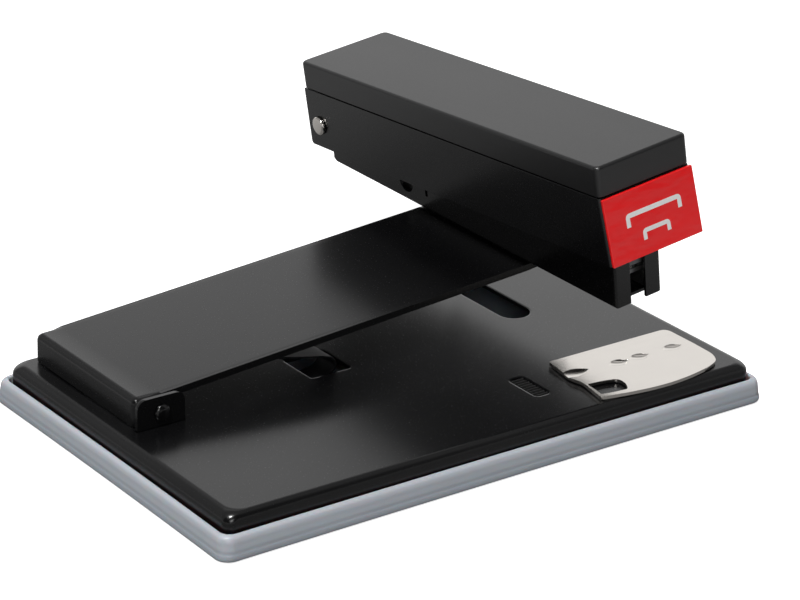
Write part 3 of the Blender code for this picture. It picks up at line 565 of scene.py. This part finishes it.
bracket_enamel = enamel_finish("bracket_enamel", 0.20, 0.8)
bracket = cast("hinge_strip", slab([(-69.2, -1.6), (-56.6, -1.6), (-56.6, -0.6), (-56.6, 41.9), (-59.0, 42.9),
                                    (-66.4, 42.9), (-69.2, 41.9)], 7.7, 8.7), bracket_enamel.material)
pierce(bracket, [ear(*EAR_FRONT), ear(*EAR_REAR)], "UNION")
pierce(bracket, [hole_along_y(*HINGE, 1.6, -4, 48)] + [
    rounded_hole(x - 1.5, x + 1.5, y - 1.5, y + 1.5, 1.49, 6, 10)
    for x, y in BRACKET_RIVETS + ((-61.0, 7.5),)])
mount(dress(bracket, 40, 0.28, 3), "base", "black_steel", "hinge_bracket")

pin_dome = [(-2.70 + 0.78 * (1 - math.cos(math.radians(t))), max(2.0 * math.sin(math.radians(t)), 0.02))
            for t in range(0, 91, 9)]
pin_profile = pin_dome + [(-1.88, 1.9), (-1.86, 1.5), (44.7, 1.5), (44.72, 2.0), (44.95, 2.05),
                          (45.25, 1.7), (45.4, 0.9), (45.4, 0.02)]
pin_bm = turned(pin_profile, 48, "Y")
bmesh.ops.translate(pin_bm, vec=(HINGE[0], 0, HINGE[1]), verts=pin_bm.verts)
pin_enamel = enamel_finish("pin_enamel", 0.16, 1.2)
mount(dress(cast("hinge_pin_domed", pin_bm, pin_enamel.material), 40), "base", "black_steel", "hinge_pin")

# ------------------------------------------------------------------ rivets of the bracket
# Two short mushroom rivets closed flush through the deck under the arm, enamelled over.
rivet_profile = [(7.2, 0.02), (7.2, 1.9), (7.35, 2.25), (7.5, 2.2), (7.5, 1.2), (10.2, 1.2), (10.2, 2.45),
                 (10.4, 2.45), (10.65, 2.2), (10.85, 1.6), (10.95, 0.8), (10.97, 0.02)]
rivet = dress(cast("rivet_sample", turned(rivet_profile, 36), base_enamel.material), 40)
mount(copies("bracket_rivets", rivet, [(x, y, 0) for x, y in BRACKET_RIVETS], base_enamel.material),
      "base", "black_steel", "bracket_rivet_front", "bracket_rivet_rear")

# ------------------------------------------------------------------ anvil
# A bright nickel-plated steel plate staked to the deck, with a bowed front edge. Its outline and the
# finger notch pierced beside the left end are corners with a radius each, and four leaf-shaped
# hollows turn the staples' legs.
ANVIL_LOW, ANVIL_TOP = 10.3, 11.1
nickel = Finish("bright_nickel", Metallic=1.0)
nickel_brush = nickel.noise(900, 3, (0.05, 1, 1))
nickel_cloud = nickel.noise(140, 3)
nickel.wear(Base_Color=nickel.tint(nickel_cloud, (0.69, 0.655, 0.61, 1), (0.74, 0.70, 0.66, 1)),
            Roughness=0.10 + nickel_cloud * 0.10 + nickel_brush * 0.05,
            Normal=nickel.bump(nickel_brush, 0.0000015, 0.5, nickel.bump(nickel_cloud, 0.00004, 0.4)))

anvil_corners = [(31.9, -22.8, 0.5), (68.4, -22.8, 2.2), (68.45, -33.0, 0), (68.2, -40.2, 1.5),
                 (66.6, -43.6, 2.5), (62.8, -45.3, 3), (56.4, -46.7, 3), (50.0, -47.35, 3),
                 (44.0, -47.2, 3), (37.5, -46.35, 2), (29.8, -44.8, 0.7), (30.8, -39.4, 2),
                 (31.4, -36.2, 2), (30.3, -32.4, 2), (31.1, -28.8, 2)]
notch_corners = [(31.6, -37.6, 0.4), (36.5, -38.1, 2), (39.8, -39.1, 1.3), (39.7, -42.0, 1.5),
                 (38.1, -44.7, 0.8), (33.4, -44.2, 2), (30.9, -43.6, 0.4), (31.4, -40.2, 1)]


def filleted(corners, steps=6):
    """Round each corner (a, b, radius) of a closed outline."""
    line = []
    for i, (a, b, radius) in enumerate(corners):
        here = Vector((a, b))
        before, after = Vector(corners[i - 1][:2]), Vector(corners[(i + 1) % len(corners)][:2])
        reach_in, reach_out = (before - here), (after - here)
        trim = min(radius, reach_in.length * 0.45, reach_out.length * 0.45)
        if trim <= 0:
            line.append((a, b))
            continue
        start, end = here + reach_in.normalized() * trim, here + reach_out.normalized() * trim
        for s in range(steps + 1):
            t = s / steps
            point = start * (1 - t) ** 2 + here * 2 * t * (1 - t) + end * t * t
            line.append((point.x, point.y))
    return line


def leaf_cutter(x, y, half_length, half_width, depth):
    """A spindle with pointed ends, sunk to depth in the plate's top."""
    rings = []
    for i in range(25):
        t = -1 + 2 * i / 24
        swell = max(1 - t * t, 0.0004)
        rings.append([Vector((x + half_length * t, y + half_width * swell * math.cos(turn),
                              ANVIL_TOP + depth * swell * math.sin(turn)))
                      for turn in (2 * math.pi * k / 24 for k in range(24))])
    return skin(bmesh.new(), rings)


anvil = cast("anvil_plated", slab(filleted(anvil_corners), ANVIL_LOW, ANVIL_TOP), nickel.material)
pierce(anvil, [leaf_cutter(32.8, -31.0, 4.6, 2.1, 0.45)]
       + [leaf_cutter(x, -32.0, 3.05, 1.6, 0.42) for x in (45.7, 52.1, 62.4)]
       + [slab(filleted(notch_corners), 10, 12)])
studs = [rounded_hole(x - 1.4, x + 1.4, y - 1.4, y + 1.4, 1.39, 7.2, 10.6) for x, y in ANVIL_STUDS]
pierce(anvil, studs, "UNION")
mount(dress(anvil, 32, 0.14, 2), "base", "nickel", "anvil_plate")

# ------------------------------------------------------------------ release button in the deck slot
# A black moulded slide with grip ribs across its top, standing in a slot of the deck. Geometry
# Nodes lay the ribs along the button at an even pitch.
BUTTON_X, BUTTON_Y, BUTTON_TOP, RIBS = 20.85, -29.45, 9.9, 9
moulded = Finish("button_plastic", IOR=1.46)
moulded_grain = moulded.noise(1800, 3)
moulded.wear(Base_Color=moulded.tint(moulded_grain, (0.003, 0.003, 0.003, 1), (0.006, 0.006, 0.006, 1)),
             Roughness=0.34 + moulded_grain * 0.16, Normal=moulded.bump(moulded_grain, 0.00001, 0.8))

rib_pattern = Pattern("rib_row", Count="Int", Pitch="Float", Width="Float", Height="Float", Finish="Material")
rib_points = rib_pattern.add("GeometryNodeMeshLine", None, {
    "Count": rib_pattern.given("Count"),
    "Offset": rib_pattern.add("ShaderNodeCombineXYZ", None, {"Y": rib_pattern.given("Pitch")})})
rib_path = rib_pattern.add("GeometryNodeCurvePrimitiveLine", None, {
    "Start": rib_pattern.add("ShaderNodeCombineXYZ", None, {"X": rib_pattern.given("Width") * -0.5}),
    "End": rib_pattern.add("ShaderNodeCombineXYZ", None, {"X": rib_pattern.given("Width") * 0.5})})
rib_round = rib_pattern.add("GeometryNodeCurvePrimitiveCircle", None, {
    "Resolution": 14, "Radius": rib_pattern.given("Height")})
rib_solid = rib_pattern.add("GeometryNodeCurveToMesh", None, {
    "Curve": rib_path, "Profile Curve": rib_round, "Fill Caps": True})
rib_smooth = rib_pattern.add("GeometryNodeSetShadeSmooth", None, {"Geometry": rib_solid})
rib_pattern.close(rib_pattern.add("GeometryNodeInstanceOnPoints", None, {
    "Points": rib_points, "Instance": rib_smooth}), rib_pattern.given("Finish"))

PITCH = 10.2 / RIBS
ribs = rib_pattern.grow(points_at("button_ribs", [(0, 0, 0)]), Count=RIBS, Pitch=PITCH * 0.001, Width=0.0036,
                        Height=0.00036, Finish=moulded.material)
first_rib = Vector((BUTTON_X, BUTTON_Y - PITCH * (RIBS - 1) / 2, BUTTON_TOP - 0.36))
ribs.data.transform(Matrix.Translation(first_rib * 0.001))
button = cast("button_body", rounded_hole(BUTTON_X - 1.85, BUTTON_X + 1.85, BUTTON_Y - 5.1, BUTTON_Y + 5.1,
                                          0.5, 8.2, BUTTON_TOP - 0.36), moulded.material)
stem = turned([(4.4, 0.02), (4.4, 0.8), (4.6, 1.0), (8.0, 1.0), (8.0, 0.02)], 24)
bmesh.ops.translate(stem, vec=(BUTTON_X, BUTTON_Y, 0), verts=stem.verts)
flange = rounded_hole(BUTTON_X - 3.2, BUTTON_X + 3.2, BUTTON_Y - 6.5, BUTTON_Y + 6.5, 1.0, 7.5, 8.6)
pierce(button, [flange, stem], "UNION")
mount(dress(button, 40, 0.15, 2), "button", "black_plastic", "release_button")
mount(ribs, "button", "black_plastic")

# ------------------------------------------------------------------ return leaf of the arm
# A blued spring-steel leaf riveted under the deck. It comes up through the deck window in a tight
# curl and bears on the arm from below.
blued = Finish("blued_spring_steel", IOR=1.28)
blued_grain = blued.noise(700, 3, (0.15, 1, 1))
blued.wear(Base_Color=blued.tint(blued_grain, (0.003, 0.003, 0.0035, 1), (0.007, 0.007, 0.008, 1)),
           Roughness=0.42 + blued_grain * 0.12, Normal=blued.bump(blued_grain, 0.000004, 0.6))
leaf_line = flowing([(-65.5, 7.15), (-40.0, 7.15), (-22.0, 7.2), (-16.0, 7.5), (-13.0, 8.2), (-11.4, 9.4),
                     (-11.0, 10.8), (-11.9, 12.2), (-14.0, 13.1), (-20.0, 14.4), (-28.0, 16.2),
                     (-32.0, 17.1), (-33.8, 17.15), (-35.2, 16.6)], 6)
upper, lower = [], []
for i, point in enumerate(leaf_line):
    run = (leaf_line[min(i + 1, len(leaf_line) - 1)] - leaf_line[max(i - 1, 0)]).normalized()
    side = Vector((-run.y, run.x)) * 0.25
    upper.append(tuple(point + side))
    lower.append(tuple(point - side))
leaf = cast("return_leaf", slab(upper + lower[::-1], 4.0, 11.0, "Y"), blued.material)
pierce(leaf, [rounded_hole(-62.5, -59.5, 6.0, 9.0, 1.49, 5, 9)])
mount(dress(leaf, 40, 0.1, 2), "base", "spring_steel", "arm_spring")
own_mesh(leaf)

# ------------------------------------------------------------------ swinging arm
# A pressed lid with a narrow flange down each side and a closed end at the hinge. It climbs to
# a seat for the head and is stoved in the same gloss enamel as the base.
ARM_LEFT, ARM_RIGHT, ARM_FRONT, ARM_REAR = -69.1, 57.0, -0.1, 44.4
KNEE_X, SEAT_X, ARM_TOP, FLANGE = -62.0, 42.6, 17.3, 1.7
CLIMB = math.tan(math.radians(4.62))
seat_z = ARM_TOP + CLIMB * (SEAT_X - KNEE_X)
tip_z = seat_z + math.tan(math.radians(7.7)) * (ARM_RIGHT - SEAT_X)
HEAD = Matrix.Translation((34.62, 0, 39.32)) @ Matrix.Rotation(-math.radians(7.7), 4, "Y")
HEAD_LEFT, HEAD_RIGHT, HEAD_CENTRE, PIVOT_Y = -0.45, 26.65, 13.1, 76.66

arm_enamel = enamel_finish("arm_enamel", 0.235, 0.5)
arm_outline = [(ARM_LEFT, 10.35), (-59.4, 10.6), (-58.2, 11.4),
               (-56.6, ARM_TOP + CLIMB * (-56.6 - KNEE_X) - FLANGE), (SEAT_X, seat_z - FLANGE),
               (ARM_RIGHT, tip_z - FLANGE), (ARM_RIGHT, tip_z), (SEAT_X, seat_z),
               (KNEE_X, ARM_TOP), (ARM_LEFT, ARM_TOP)]
arm_bm = slab(arm_outline, ARM_FRONT, ARM_REAR, "Y")


def lid_height(x):
    return ARM_TOP + CLIMB * (max(x, KNEE_X) - KNEE_X)


bends = []
for edge in arm_bm.edges:
    a, b = (v.co for v in edge.verts)
    lid = all(v.z > lid_height(v.x) - 0.3 for v in (a, b))
    at_left = a.x < ARM_LEFT + 0.1 and b.x < ARM_LEFT + 0.1
    if abs(a.y - b.y) < 0.1 and (lid or at_left) or (lid and at_left):
        bends.append(edge)
bmesh.ops.bevel(arm_bm, geom=bends, offset=1.6, segments=8, profile=0.5, affect="EDGES", clamp_overlap=True)
arm = cast("arm_lid", arm_bm, arm_enamel.material)
arm_inside = [(ARM_LEFT + 1, 2.0), (60.0, 2.0), (60.0, tip_z - 0.6), (SEAT_X, seat_z - 1),
              (KNEE_X, ARM_TOP - 1),
              (ARM_LEFT + 1, ARM_TOP - 1)]
arm_cuts = [slab(arm_inside, ARM_FRONT + 1, ARM_REAR - 1, "Y"), hole_along_y(*HINGE, 1.6, -4, 50)]


def seat_bores(place):
    """Cutters for the two screws and two rivets that hold the magazine on the arm's seat."""
    bores = []
    for u in (8.7, 15.6):
        for y in (12.0, 32.0):
            bore = turned([(-20, 1.5), (-10, 1.5)], 32)
            bmesh.ops.translate(bore, vec=(u, y, 0), verts=bore.verts)
            bore.transform(place)
            bores.append(bore)
    return bores


pierce(arm, arm_cuts + seat_bores(HEAD))
mount(dress(arm, 40, 0.14, 2), "arm", "black_steel", "arm_plate")

# ------------------------------------------------------------------ magazine
# A deep enamelled channel under the head that holds the staples. Its front ends in two prongs that
# guide the driver, and a round sight hole and a slit show on the left side.
MAG_LEFT, MAG_RIGHT, MAG_FRONT, MAG_REAR, MAG_BOTTOM, MAG_TOP = 6.1, 20.1, -33.6, 81.8, -14.2, 1.5
PRONG, SLOT_REAR = 0.8, -30.8
mag_bm = slab([(MAG_FRONT, MAG_BOTTOM), (80.4, MAG_BOTTOM), (MAG_REAR, MAG_BOTTOM + 1.2), (MAG_REAR, MAG_TOP),
               (MAG_FRONT, MAG_TOP)], MAG_LEFT, MAG_RIGHT, "X")
mag_bends = [e for e in mag_bm.edges if abs(e.verts[0].co.x - e.verts[1].co.x) < 0.1 and (
    all(v.co.y < MAG_FRONT + 0.1 for v in e.verts) or all(v.co.z < MAG_BOTTOM + 0.1 for v in e.verts))]
bmesh.ops.bevel(mag_bm, geom=mag_bends, offset=0.8, segments=6, profile=0.5, affect="EDGES", clamp_overlap=True)
mag_enamel = enamel_finish("magazine_enamel", 0.26, 0.8)
magazine = cast("magazine_channel", mag_bm, mag_enamel.material)


def brick(x0, x1, y0, y1, z0, z1):
    return slab([(x0, y0), (x1, y0), (x1, y1), (x0, y1)], z0, z1)


def hole_along_x(y, z, radius, x0, x1):
    bm = turned([(x0, radius), (x1, radius)], 48, "X")
    bmesh.ops.translate(bm, vec=(0, y, z), verts=bm.verts)
    return bm


mag_cuts = [brick(MAG_LEFT + 0.7, MAG_RIGHT - 0.7, MAG_FRONT + PRONG, 90, MAG_BOTTOM + 0.8, 10),
            brick(MAG_LEFT + 0.7, MAG_RIGHT - 0.7, MAG_FRONT + PRONG, SLOT_REAR, -20, 0),
            brick(HEAD_CENTRE - 2.3, HEAD_CENTRE + 2.3, -40, SLOT_REAR, -20, 10),
            hole_along_x(PIVOT_Y, 0, 2.2, -2, 30), hole_along_x(49.3, -8.9, 2.9, -2, HEAD_CENTRE),
            brick(-2, HEAD_CENTRE, 40.2, 41.2, -10.3, -8.3)]
pierce(magazine, mag_cuts + seat_bores(Matrix.Identity(4)))
magazine = dress(magazine, 40, 0.14, 2)
magazine.data.transform(Matrix.Scale(0.001, 4) @ HEAD @ Matrix.Scale(1000, 4))
mount(magazine, "arm", "black_steel", "mag_channel")

# ------------------------------------------------------------------ strip of staples
# Glued wire staples on the rail. Geometry Nodes repeat one bent staple down the strip at the
# wire's own pitch.
WEB_TOP, STAPLE_TOP, STAPLE_PITCH, STAPLE_COUNT = MAG_BOTTOM + 0.8, -6.6, 0.505, 100
staple_wire = Finish("staple_wire", Metallic=1.0)
staple_grain = staple_wire.noise(1500, 2)
staple_wire.wear(Base_Color=staple_wire.tint(staple_grain, (0.60, 0.59, 0.57, 1), (0.78, 0.77, 0.75, 1)),
                 Roughness=0.22 + staple_grain * 0.12,
                 Normal=staple_wire.bump(staple_grain, 0.000004, 0.5))
staple_path = [(-6.05, WEB_TOP + 0.4), (-6.05, STAPLE_TOP - 0.4), (-5.65, STAPLE_TOP), (5.65, STAPLE_TOP),
               (6.05, STAPLE_TOP - 0.4), (6.05, WEB_TOP + 0.4)]
staple_bm = bmesh.new()
staple_outer = [Vector((u, 0, v)) for u, v in staple_path]
staple_inner = [Vector((u - math.copysign(0.45, u) if abs(u) > 5.9 else u * 0.95, 0, min(v, STAPLE_TOP - 0.45)))
                for u, v in staple_path]
skin(staple_bm, [[a + Vector((0, y, 0)) for a, y in ((o, 0), (o, 0.45), (n, 0.45), (n, 0))]
                 for o, n in zip(staple_outer, staple_inner)])
staple = cast("staple_sample", staple_bm, staple_wire.material)
staples = copies("staples", staple, [(HEAD_CENTRE, -30.5 + STAPLE_PITCH * i, 0) for i in range(STAPLE_COUNT)],
                 staple_wire.material, place=HEAD)
mount(staples, "arm", "nickel", "staple_strip")

# ------------------------------------------------------------------ coil springs
# Three wound music-wire springs: under the release button, behind the staple pusher and under the
# handle. One Geometry Nodes pattern sweeps a round wire along a helix for each.
music_wire = Finish("music_wire", Metallic=1.0)
wire_grain = music_wire.noise(1200, 2)
music_wire.wear(Base_Color=music_wire.tint(wire_grain, (0.34, 0.34, 0.35, 1), (0.50, 0.50, 0.51, 1)),
                Roughness=0.26 + wire_grain * 0.12, Normal=music_wire.bump(wire_grain, 0.000004, 0.5))
coil_pattern = Pattern("wound_wire", Turns="Float", Radius="Float", Length="Float", Wire="Float", Steps="Int",
                       Finish="Material")
helix = coil_pattern.add("GeometryNodeCurveSpiral", None, {
    "Resolution": coil_pattern.given("Steps"), "Rotations": coil_pattern.given("Turns"),
    "Start Radius": coil_pattern.given("Radius"), "End Radius": coil_pattern.given("Radius"),
    "Height": coil_pattern.given("Length")})
gauge = coil_pattern.add("GeometryNodeCurvePrimitiveCircle", None, {
    "Resolution": 8, "Radius": coil_pattern.given("Wire")})
swept = coil_pattern.add("GeometryNodeCurveToMesh", None, {
    "Curve": helix, "Profile Curve": gauge, "Fill Caps": True})
coil_pattern.close(coil_pattern.add("GeometryNodeSetShadeSmooth", None, {"Geometry": swept}),
                   coil_pattern.given("Finish"))


def coil(name, start, axis, length, radius, wire, turns, place=None):
    """A helix from start along an axis; place is the frame it is measured in."""
    piece = coil_pattern.grow(points_at(name, [(0, 0, 0)]), Turns=float(turns), Radius=radius * 0.001,
                              Length=length * 0.001, Wire=wire * 0.001, Steps=26, Finish=music_wire.material)
    turn = Matrix.Rotation(-math.pi / 2, 4, "X") if axis == "Y" else Matrix.Identity(4)
    seat = (place or Matrix.Identity(4)) @ Matrix.Translation(start)
    piece.data.transform(Matrix.Scale(0.001, 4) @ seat @ Matrix.Scale(1000, 4) @ turn)
    return piece


button_coil = coil("button_coil", (BUTTON_X, BUTTON_Y, 3.3), "Z", 3.8, 1.75, 0.25, 4)
pusher_coil = coil("pusher_coil", (HEAD_CENTRE, 27.6, -2.6), "Y", 40.6, 2.0, 0.3, 16, HEAD)
handle_coil = coil("handle_coil", (HEAD_CENTRE, 45, MAG_TOP + 1.6), "Z", 5.9, 3.2, 0.35, 4, HEAD)
mount(button_coil, "base", "spring_steel", "button_spring")
mount(pusher_coil, "arm", "spring_steel", "pusher_spring")
mount(handle_coil, "arm", "spring_steel", "handle_spring")
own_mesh(button_coil)
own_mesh(pusher_coil)
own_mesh(handle_coil)

# ------------------------------------------------------------------ handle pivot
# A nickel-plated rivet through handle and magazine, with a flat faced head and a turned chamfer.
pivot_head = [(1.05, 0.02), (1.05, 1.6), (1.02, 1.95), (0.9, 2.25), (0.75, 2.4), (0.3, 2.45), (0.3, 1.9)]
pivot_profile = [(HEAD_LEFT - d, radius) for d, radius in pivot_head]
pivot_profile += [(HEAD_RIGHT + d, radius) for d, radius in pivot_head[::-1]]
pivot_bm = turned(pivot_profile, 56, "X")
bmesh.ops.translate(pivot_bm, vec=(0, PIVOT_Y, 0), verts=pivot_bm.verts)
mount(dress(cast("handle_rivet", pivot_bm, nickel.material, HEAD), 32, 0.08, 2), "arm", "nickel", "handle_pin")

# ------------------------------------------------------------------ handle channel
# The lower half of the handle, a folded steel channel open underneath and at the rear. Its nose
# leans forward and its rear lower corners are clipped.
HANDLE = HEAD @ Matrix.Translation((0, PIVOT_Y, 0)) @ Matrix.Rotation(-math.radians(4.5), 4, "X")
NOSE_TOP, NOSE_FOOT, COVER_SCREWS = -115.4, -117.3, (-92, -22)
handle_enamel = enamel_finish("handle_enamel", 0.27, 0.9)
handle_view = [(5.2, -5.6), (4.6, -6.2), (NOSE_FOOT, -7.45), (NOSE_TOP, 9.2), (5.2, 9.2)]
handle_bm = slab(handle_view, HEAD_LEFT, HEAD_RIGHT, "X")
folds = [e for e in handle_bm.edges if abs(e.verts[0].co.x - e.verts[1].co.x) < 0.1
         and all(v.co.y < -110 for v in e.verts)]
bmesh.ops.bevel(handle_bm, geom=folds, offset=1.0, segments=7, profile=0.5, affect="EDGES", clamp_overlap=True)
handle = cast("handle_channel", handle_bm, handle_enamel.material)
handle_cuts = [slab([(10, -20), (NOSE_FOOT + 1.3, -20), (NOSE_TOP + 1.1, 8.2), (10, 8.2)],
                    HEAD_LEFT + 1.0, HEAD_RIGHT - 1.0, "X"),
               hole_along_x(0, 0, 2.0, -2, 30)]
handle_cuts += [rounded_hole(HEAD_CENTRE - 1.5, HEAD_CENTRE + 1.5, y - 1.5, y + 1.5, 1.49, 6, 10)
                for y in COVER_SCREWS]
pierce(handle, handle_cuts)
handle = dress(handle, 40, 0.14, 2)
handle.data.transform(Matrix.Scale(0.001, 4) @ HANDLE @ Matrix.Scale(1000, 4))
mount(handle, "handle", "black_steel", "handle_frame")

# ------------------------------------------------------------------ top cover
# A satin black moulded cap over the handle channel, with crisp rounded edges and a fine
# spark-eroded grain. It is hollow and screwed on from inside through two bosses.
COVER_FRONT, COVER_REAR, COVER_FOOT, COVER_SIDE = -115.6, 5.3, 9.5, 15.85
satin = Finish("cover_plastic", IOR=1.6)
satin_grain = satin.noise(2400, 3)
satin_cloud = satin.noise(30, 3, (1, 0.4, 1))
satin.wear(
    Base_Color=satin.tint(satin_cloud, (0.0024, 0.0024, 0.0026, 1), (0.0044, 0.0044, 0.0048, 1)),
    Roughness=0.30 + satin_cloud * 0.07 + satin_grain * 0.08,
    Normal=satin.bump(satin_grain, 0.000006, 0.6, satin.bump(satin_cloud, 0.00012, 0.3)))


def cover_ring(inset, z, corner_radius=1.5):
    lift = 0.003 if z > 14 else 0
    ring = rounded_ring(HEAD_RIGHT - HEAD_CENTRE - inset, (COVER_REAR - COVER_FRONT) / 2 - inset,
                        max(corner_radius - inset * 0.5, 0.3), z, corner=9)
    middle = (COVER_REAR + COVER_FRONT) / 2
    return [Vector((p.x + HEAD_CENTRE, p.y + middle, p.z - lift * (p.y + middle))) for p in ring]


cover_rings = [cover_ring(0.12, COVER_FOOT), cover_ring(0.0, COVER_FOOT + 0.15), cover_ring(0.0, COVER_SIDE)]
cover_rings += [cover_ring(0.75 * (1 - math.cos(math.radians(t))),
                           COVER_SIDE + 0.75 * math.sin(math.radians(t)))
                for t in range(15, 91, 15)]
cover = cast("top_cap", skin(bmesh.new(), cover_rings), satin.material)
pierce(cover, [skin(bmesh.new(), [cover_ring(1.4, 8.5), cover_ring(1.4, 13.9)])])
for y in COVER_SCREWS:
    boss, bore = turned([(9.7, 2.6), (15.0, 2.6)], 32), turned([(9.0, 1.35), (13.4, 1.35)], 32)
    for part in (boss, bore):
        bmesh.ops.translate(part, vec=(HEAD_CENTRE, y, 0), verts=part.verts)
    pierce(cover, [boss], "UNION")
    pierce(cover, [bore])
cover = dress(cover, 45)
cover.data.transform(Matrix.Scale(0.001, 4) @ HANDLE @ Matrix.Scale(1000, 4))
mount(cover, "handle", "black_plastic", "top_cover")

# ------------------------------------------------------------------ red nose plate
# A thin plate of gloss red enamel on the handle's nose. A plain white mark of a wide and a narrow
# staple is screen printed on it, a few hundredths of a millimetre thick.
LEAN = (NOSE_TOP - NOSE_FOOT) / (9.2 + 7.45)
red = Finish("red_gloss", IOR=1.45, Coat_Roughness=0.06)
red_cloud = red.noise(60, 2)
red_ripple = red.noise(110, 2, (1, 1, 2.2))
red.wear(Base_Color=red.tint(red_cloud, (0.70, 0.006, 0.008, 1), (0.82, 0.012, 0.014, 1)),
         Roughness=0.12 + red_cloud * 0.10, Coat_Weight=0.15 + red_cloud * 0.3,
         Normal=red.bump(red_ripple, 0.00045, 0.8))
plate_view = [(NOSE_TOP - 0.3 - LEAN * (9.2 - v) - d, v)
              for v, d in ((9.1, 0), (-7.3, 0), (-7.3, 0.8), (9.1, 0.8))]
nose_plate = cast("nose_plate", slab(plate_view, HEAD_LEFT + 0.1, HEAD_RIGHT - 0.1, "X"), red.material)
nose_plate = dress(nose_plate, 40, 0.22, 4)
nose_plate.data.transform(Matrix.Scale(0.001, 4) @ HANDLE @ Matrix.Scale(1000, 4))
mount(nose_plate, "handle", "red_label", "label_plate")

ink = Finish("white_ink")
ink_grain = ink.noise(1500, 3)
ink.wear(Base_Color=ink.tint(ink_grain, (0.72, 0.71, 0.70, 1), (0.82, 0.81, 0.80, 1)),
         Roughness=0.30 + ink_grain * 0.15, Normal=ink.bump(ink_grain, 0.000005, 0.6))


def staple_mark(centre_u, top_v, width, drop, stroke):
    """A flat printed staple on the nose plate's face, legs down."""
    u0, u1, r = centre_u - width / 2, centre_u + width / 2, stroke
    outline = [(u0, top_v - drop), (u0, top_v - r)] + arc((u0 + r, top_v - r), r, 180, 90, 6)
    outline += arc((u1 - r, top_v - r), r, 90, 0, 6)
    outline += [(u1, top_v - drop), (u1 - stroke, top_v - drop), (u1 - stroke, top_v - stroke),
                (u0 + stroke, top_v - stroke), (u0 + stroke, top_v - drop)]
    rings = []
    for proud in (-0.02, 0.03):
        rings.append([Vector((u, NOSE_TOP - 0.3 - LEAN * (9.2 - v) - 0.8 - proud, v)) for u, v in outline])
    return skin(bmesh.new(), rings)


mark_bm = staple_mark(HEAD_CENTRE + 0.4, 3.9, 16.5, 3.3, 1.15)
mark_low = staple_mark(HEAD_CENTRE + 0.4, -0.9, 8.2, 2.7, 1.05)
mark_mesh = bpy.data.meshes.new("mark_low")
mark_low.to_mesh(mark_mesh)
mark_low.free()
mark_bm.from_mesh(mark_mesh)
mark = dress(cast("printed_mark", mark_bm, ink.material, HANDLE), 30)
mount(mark, "handle", "red_label")

# ------------------------------------------------------------------ zinc-plated works
# Screws, nuts, rivets, rail, pusher, guide blocks and the driver. They sit inside the head and the
# base with only edges on view, so the CAD solids stay and take plated and ground-steel finishes.
zinc = Finish("zinc_plate", Metallic=1.0)
zinc_spangle = zinc.noise(350, 3)
zinc.wear(Base_Color=zinc.tint(zinc_spangle, (0.48, 0.49, 0.50, 1), (0.64, 0.64, 0.63, 1)),
          Roughness=0.28 + zinc_spangle * 0.16, Normal=zinc.bump(zinc_spangle, 0.000008, 0.6))
ground = Finish("ground_steel", Metallic=1.0)
ground_lines = ground.noise(1500, 3, (1, 0.04, 0.04))
ground.wear(Base_Color=ground.tint(ground_lines, (0.10, 0.10, 0.105, 1), (0.22, 0.22, 0.225, 1)),
            Roughness=0.30 + ground_lines * 0.18, Normal=ground.bump(ground_lines, 0.000005, 0.7))
for node, finish in {
        "mag_rail": zinc, "rod_guide": blued, "rear_block": zinc, "pusher": zinc, "spring_seat": zinc,
        "pusher_rod": nickel, "driver_block": blued, "driver_blade": ground, "anvil_retainer": ground,
        "spring_rivet": zinc, "button_guide": moulded, "arm_brace": arm_enamel,
        "pin_spacer_left": zinc, "pin_spacer_right": zinc, "head_screw_front": zinc,
        "head_screw_rear": zinc, "head_nut_front": zinc, "head_nut_rear": zinc,
        "head_rivet_front": zinc, "head_rivet_rear": zinc, "cover_screw_front": zinc,
        "cover_screw_rear": zinc, "driver_rivet_left": zinc, "driver_rivet_right": zinc}.items():
    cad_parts[node].data.materials[0] = finish.material
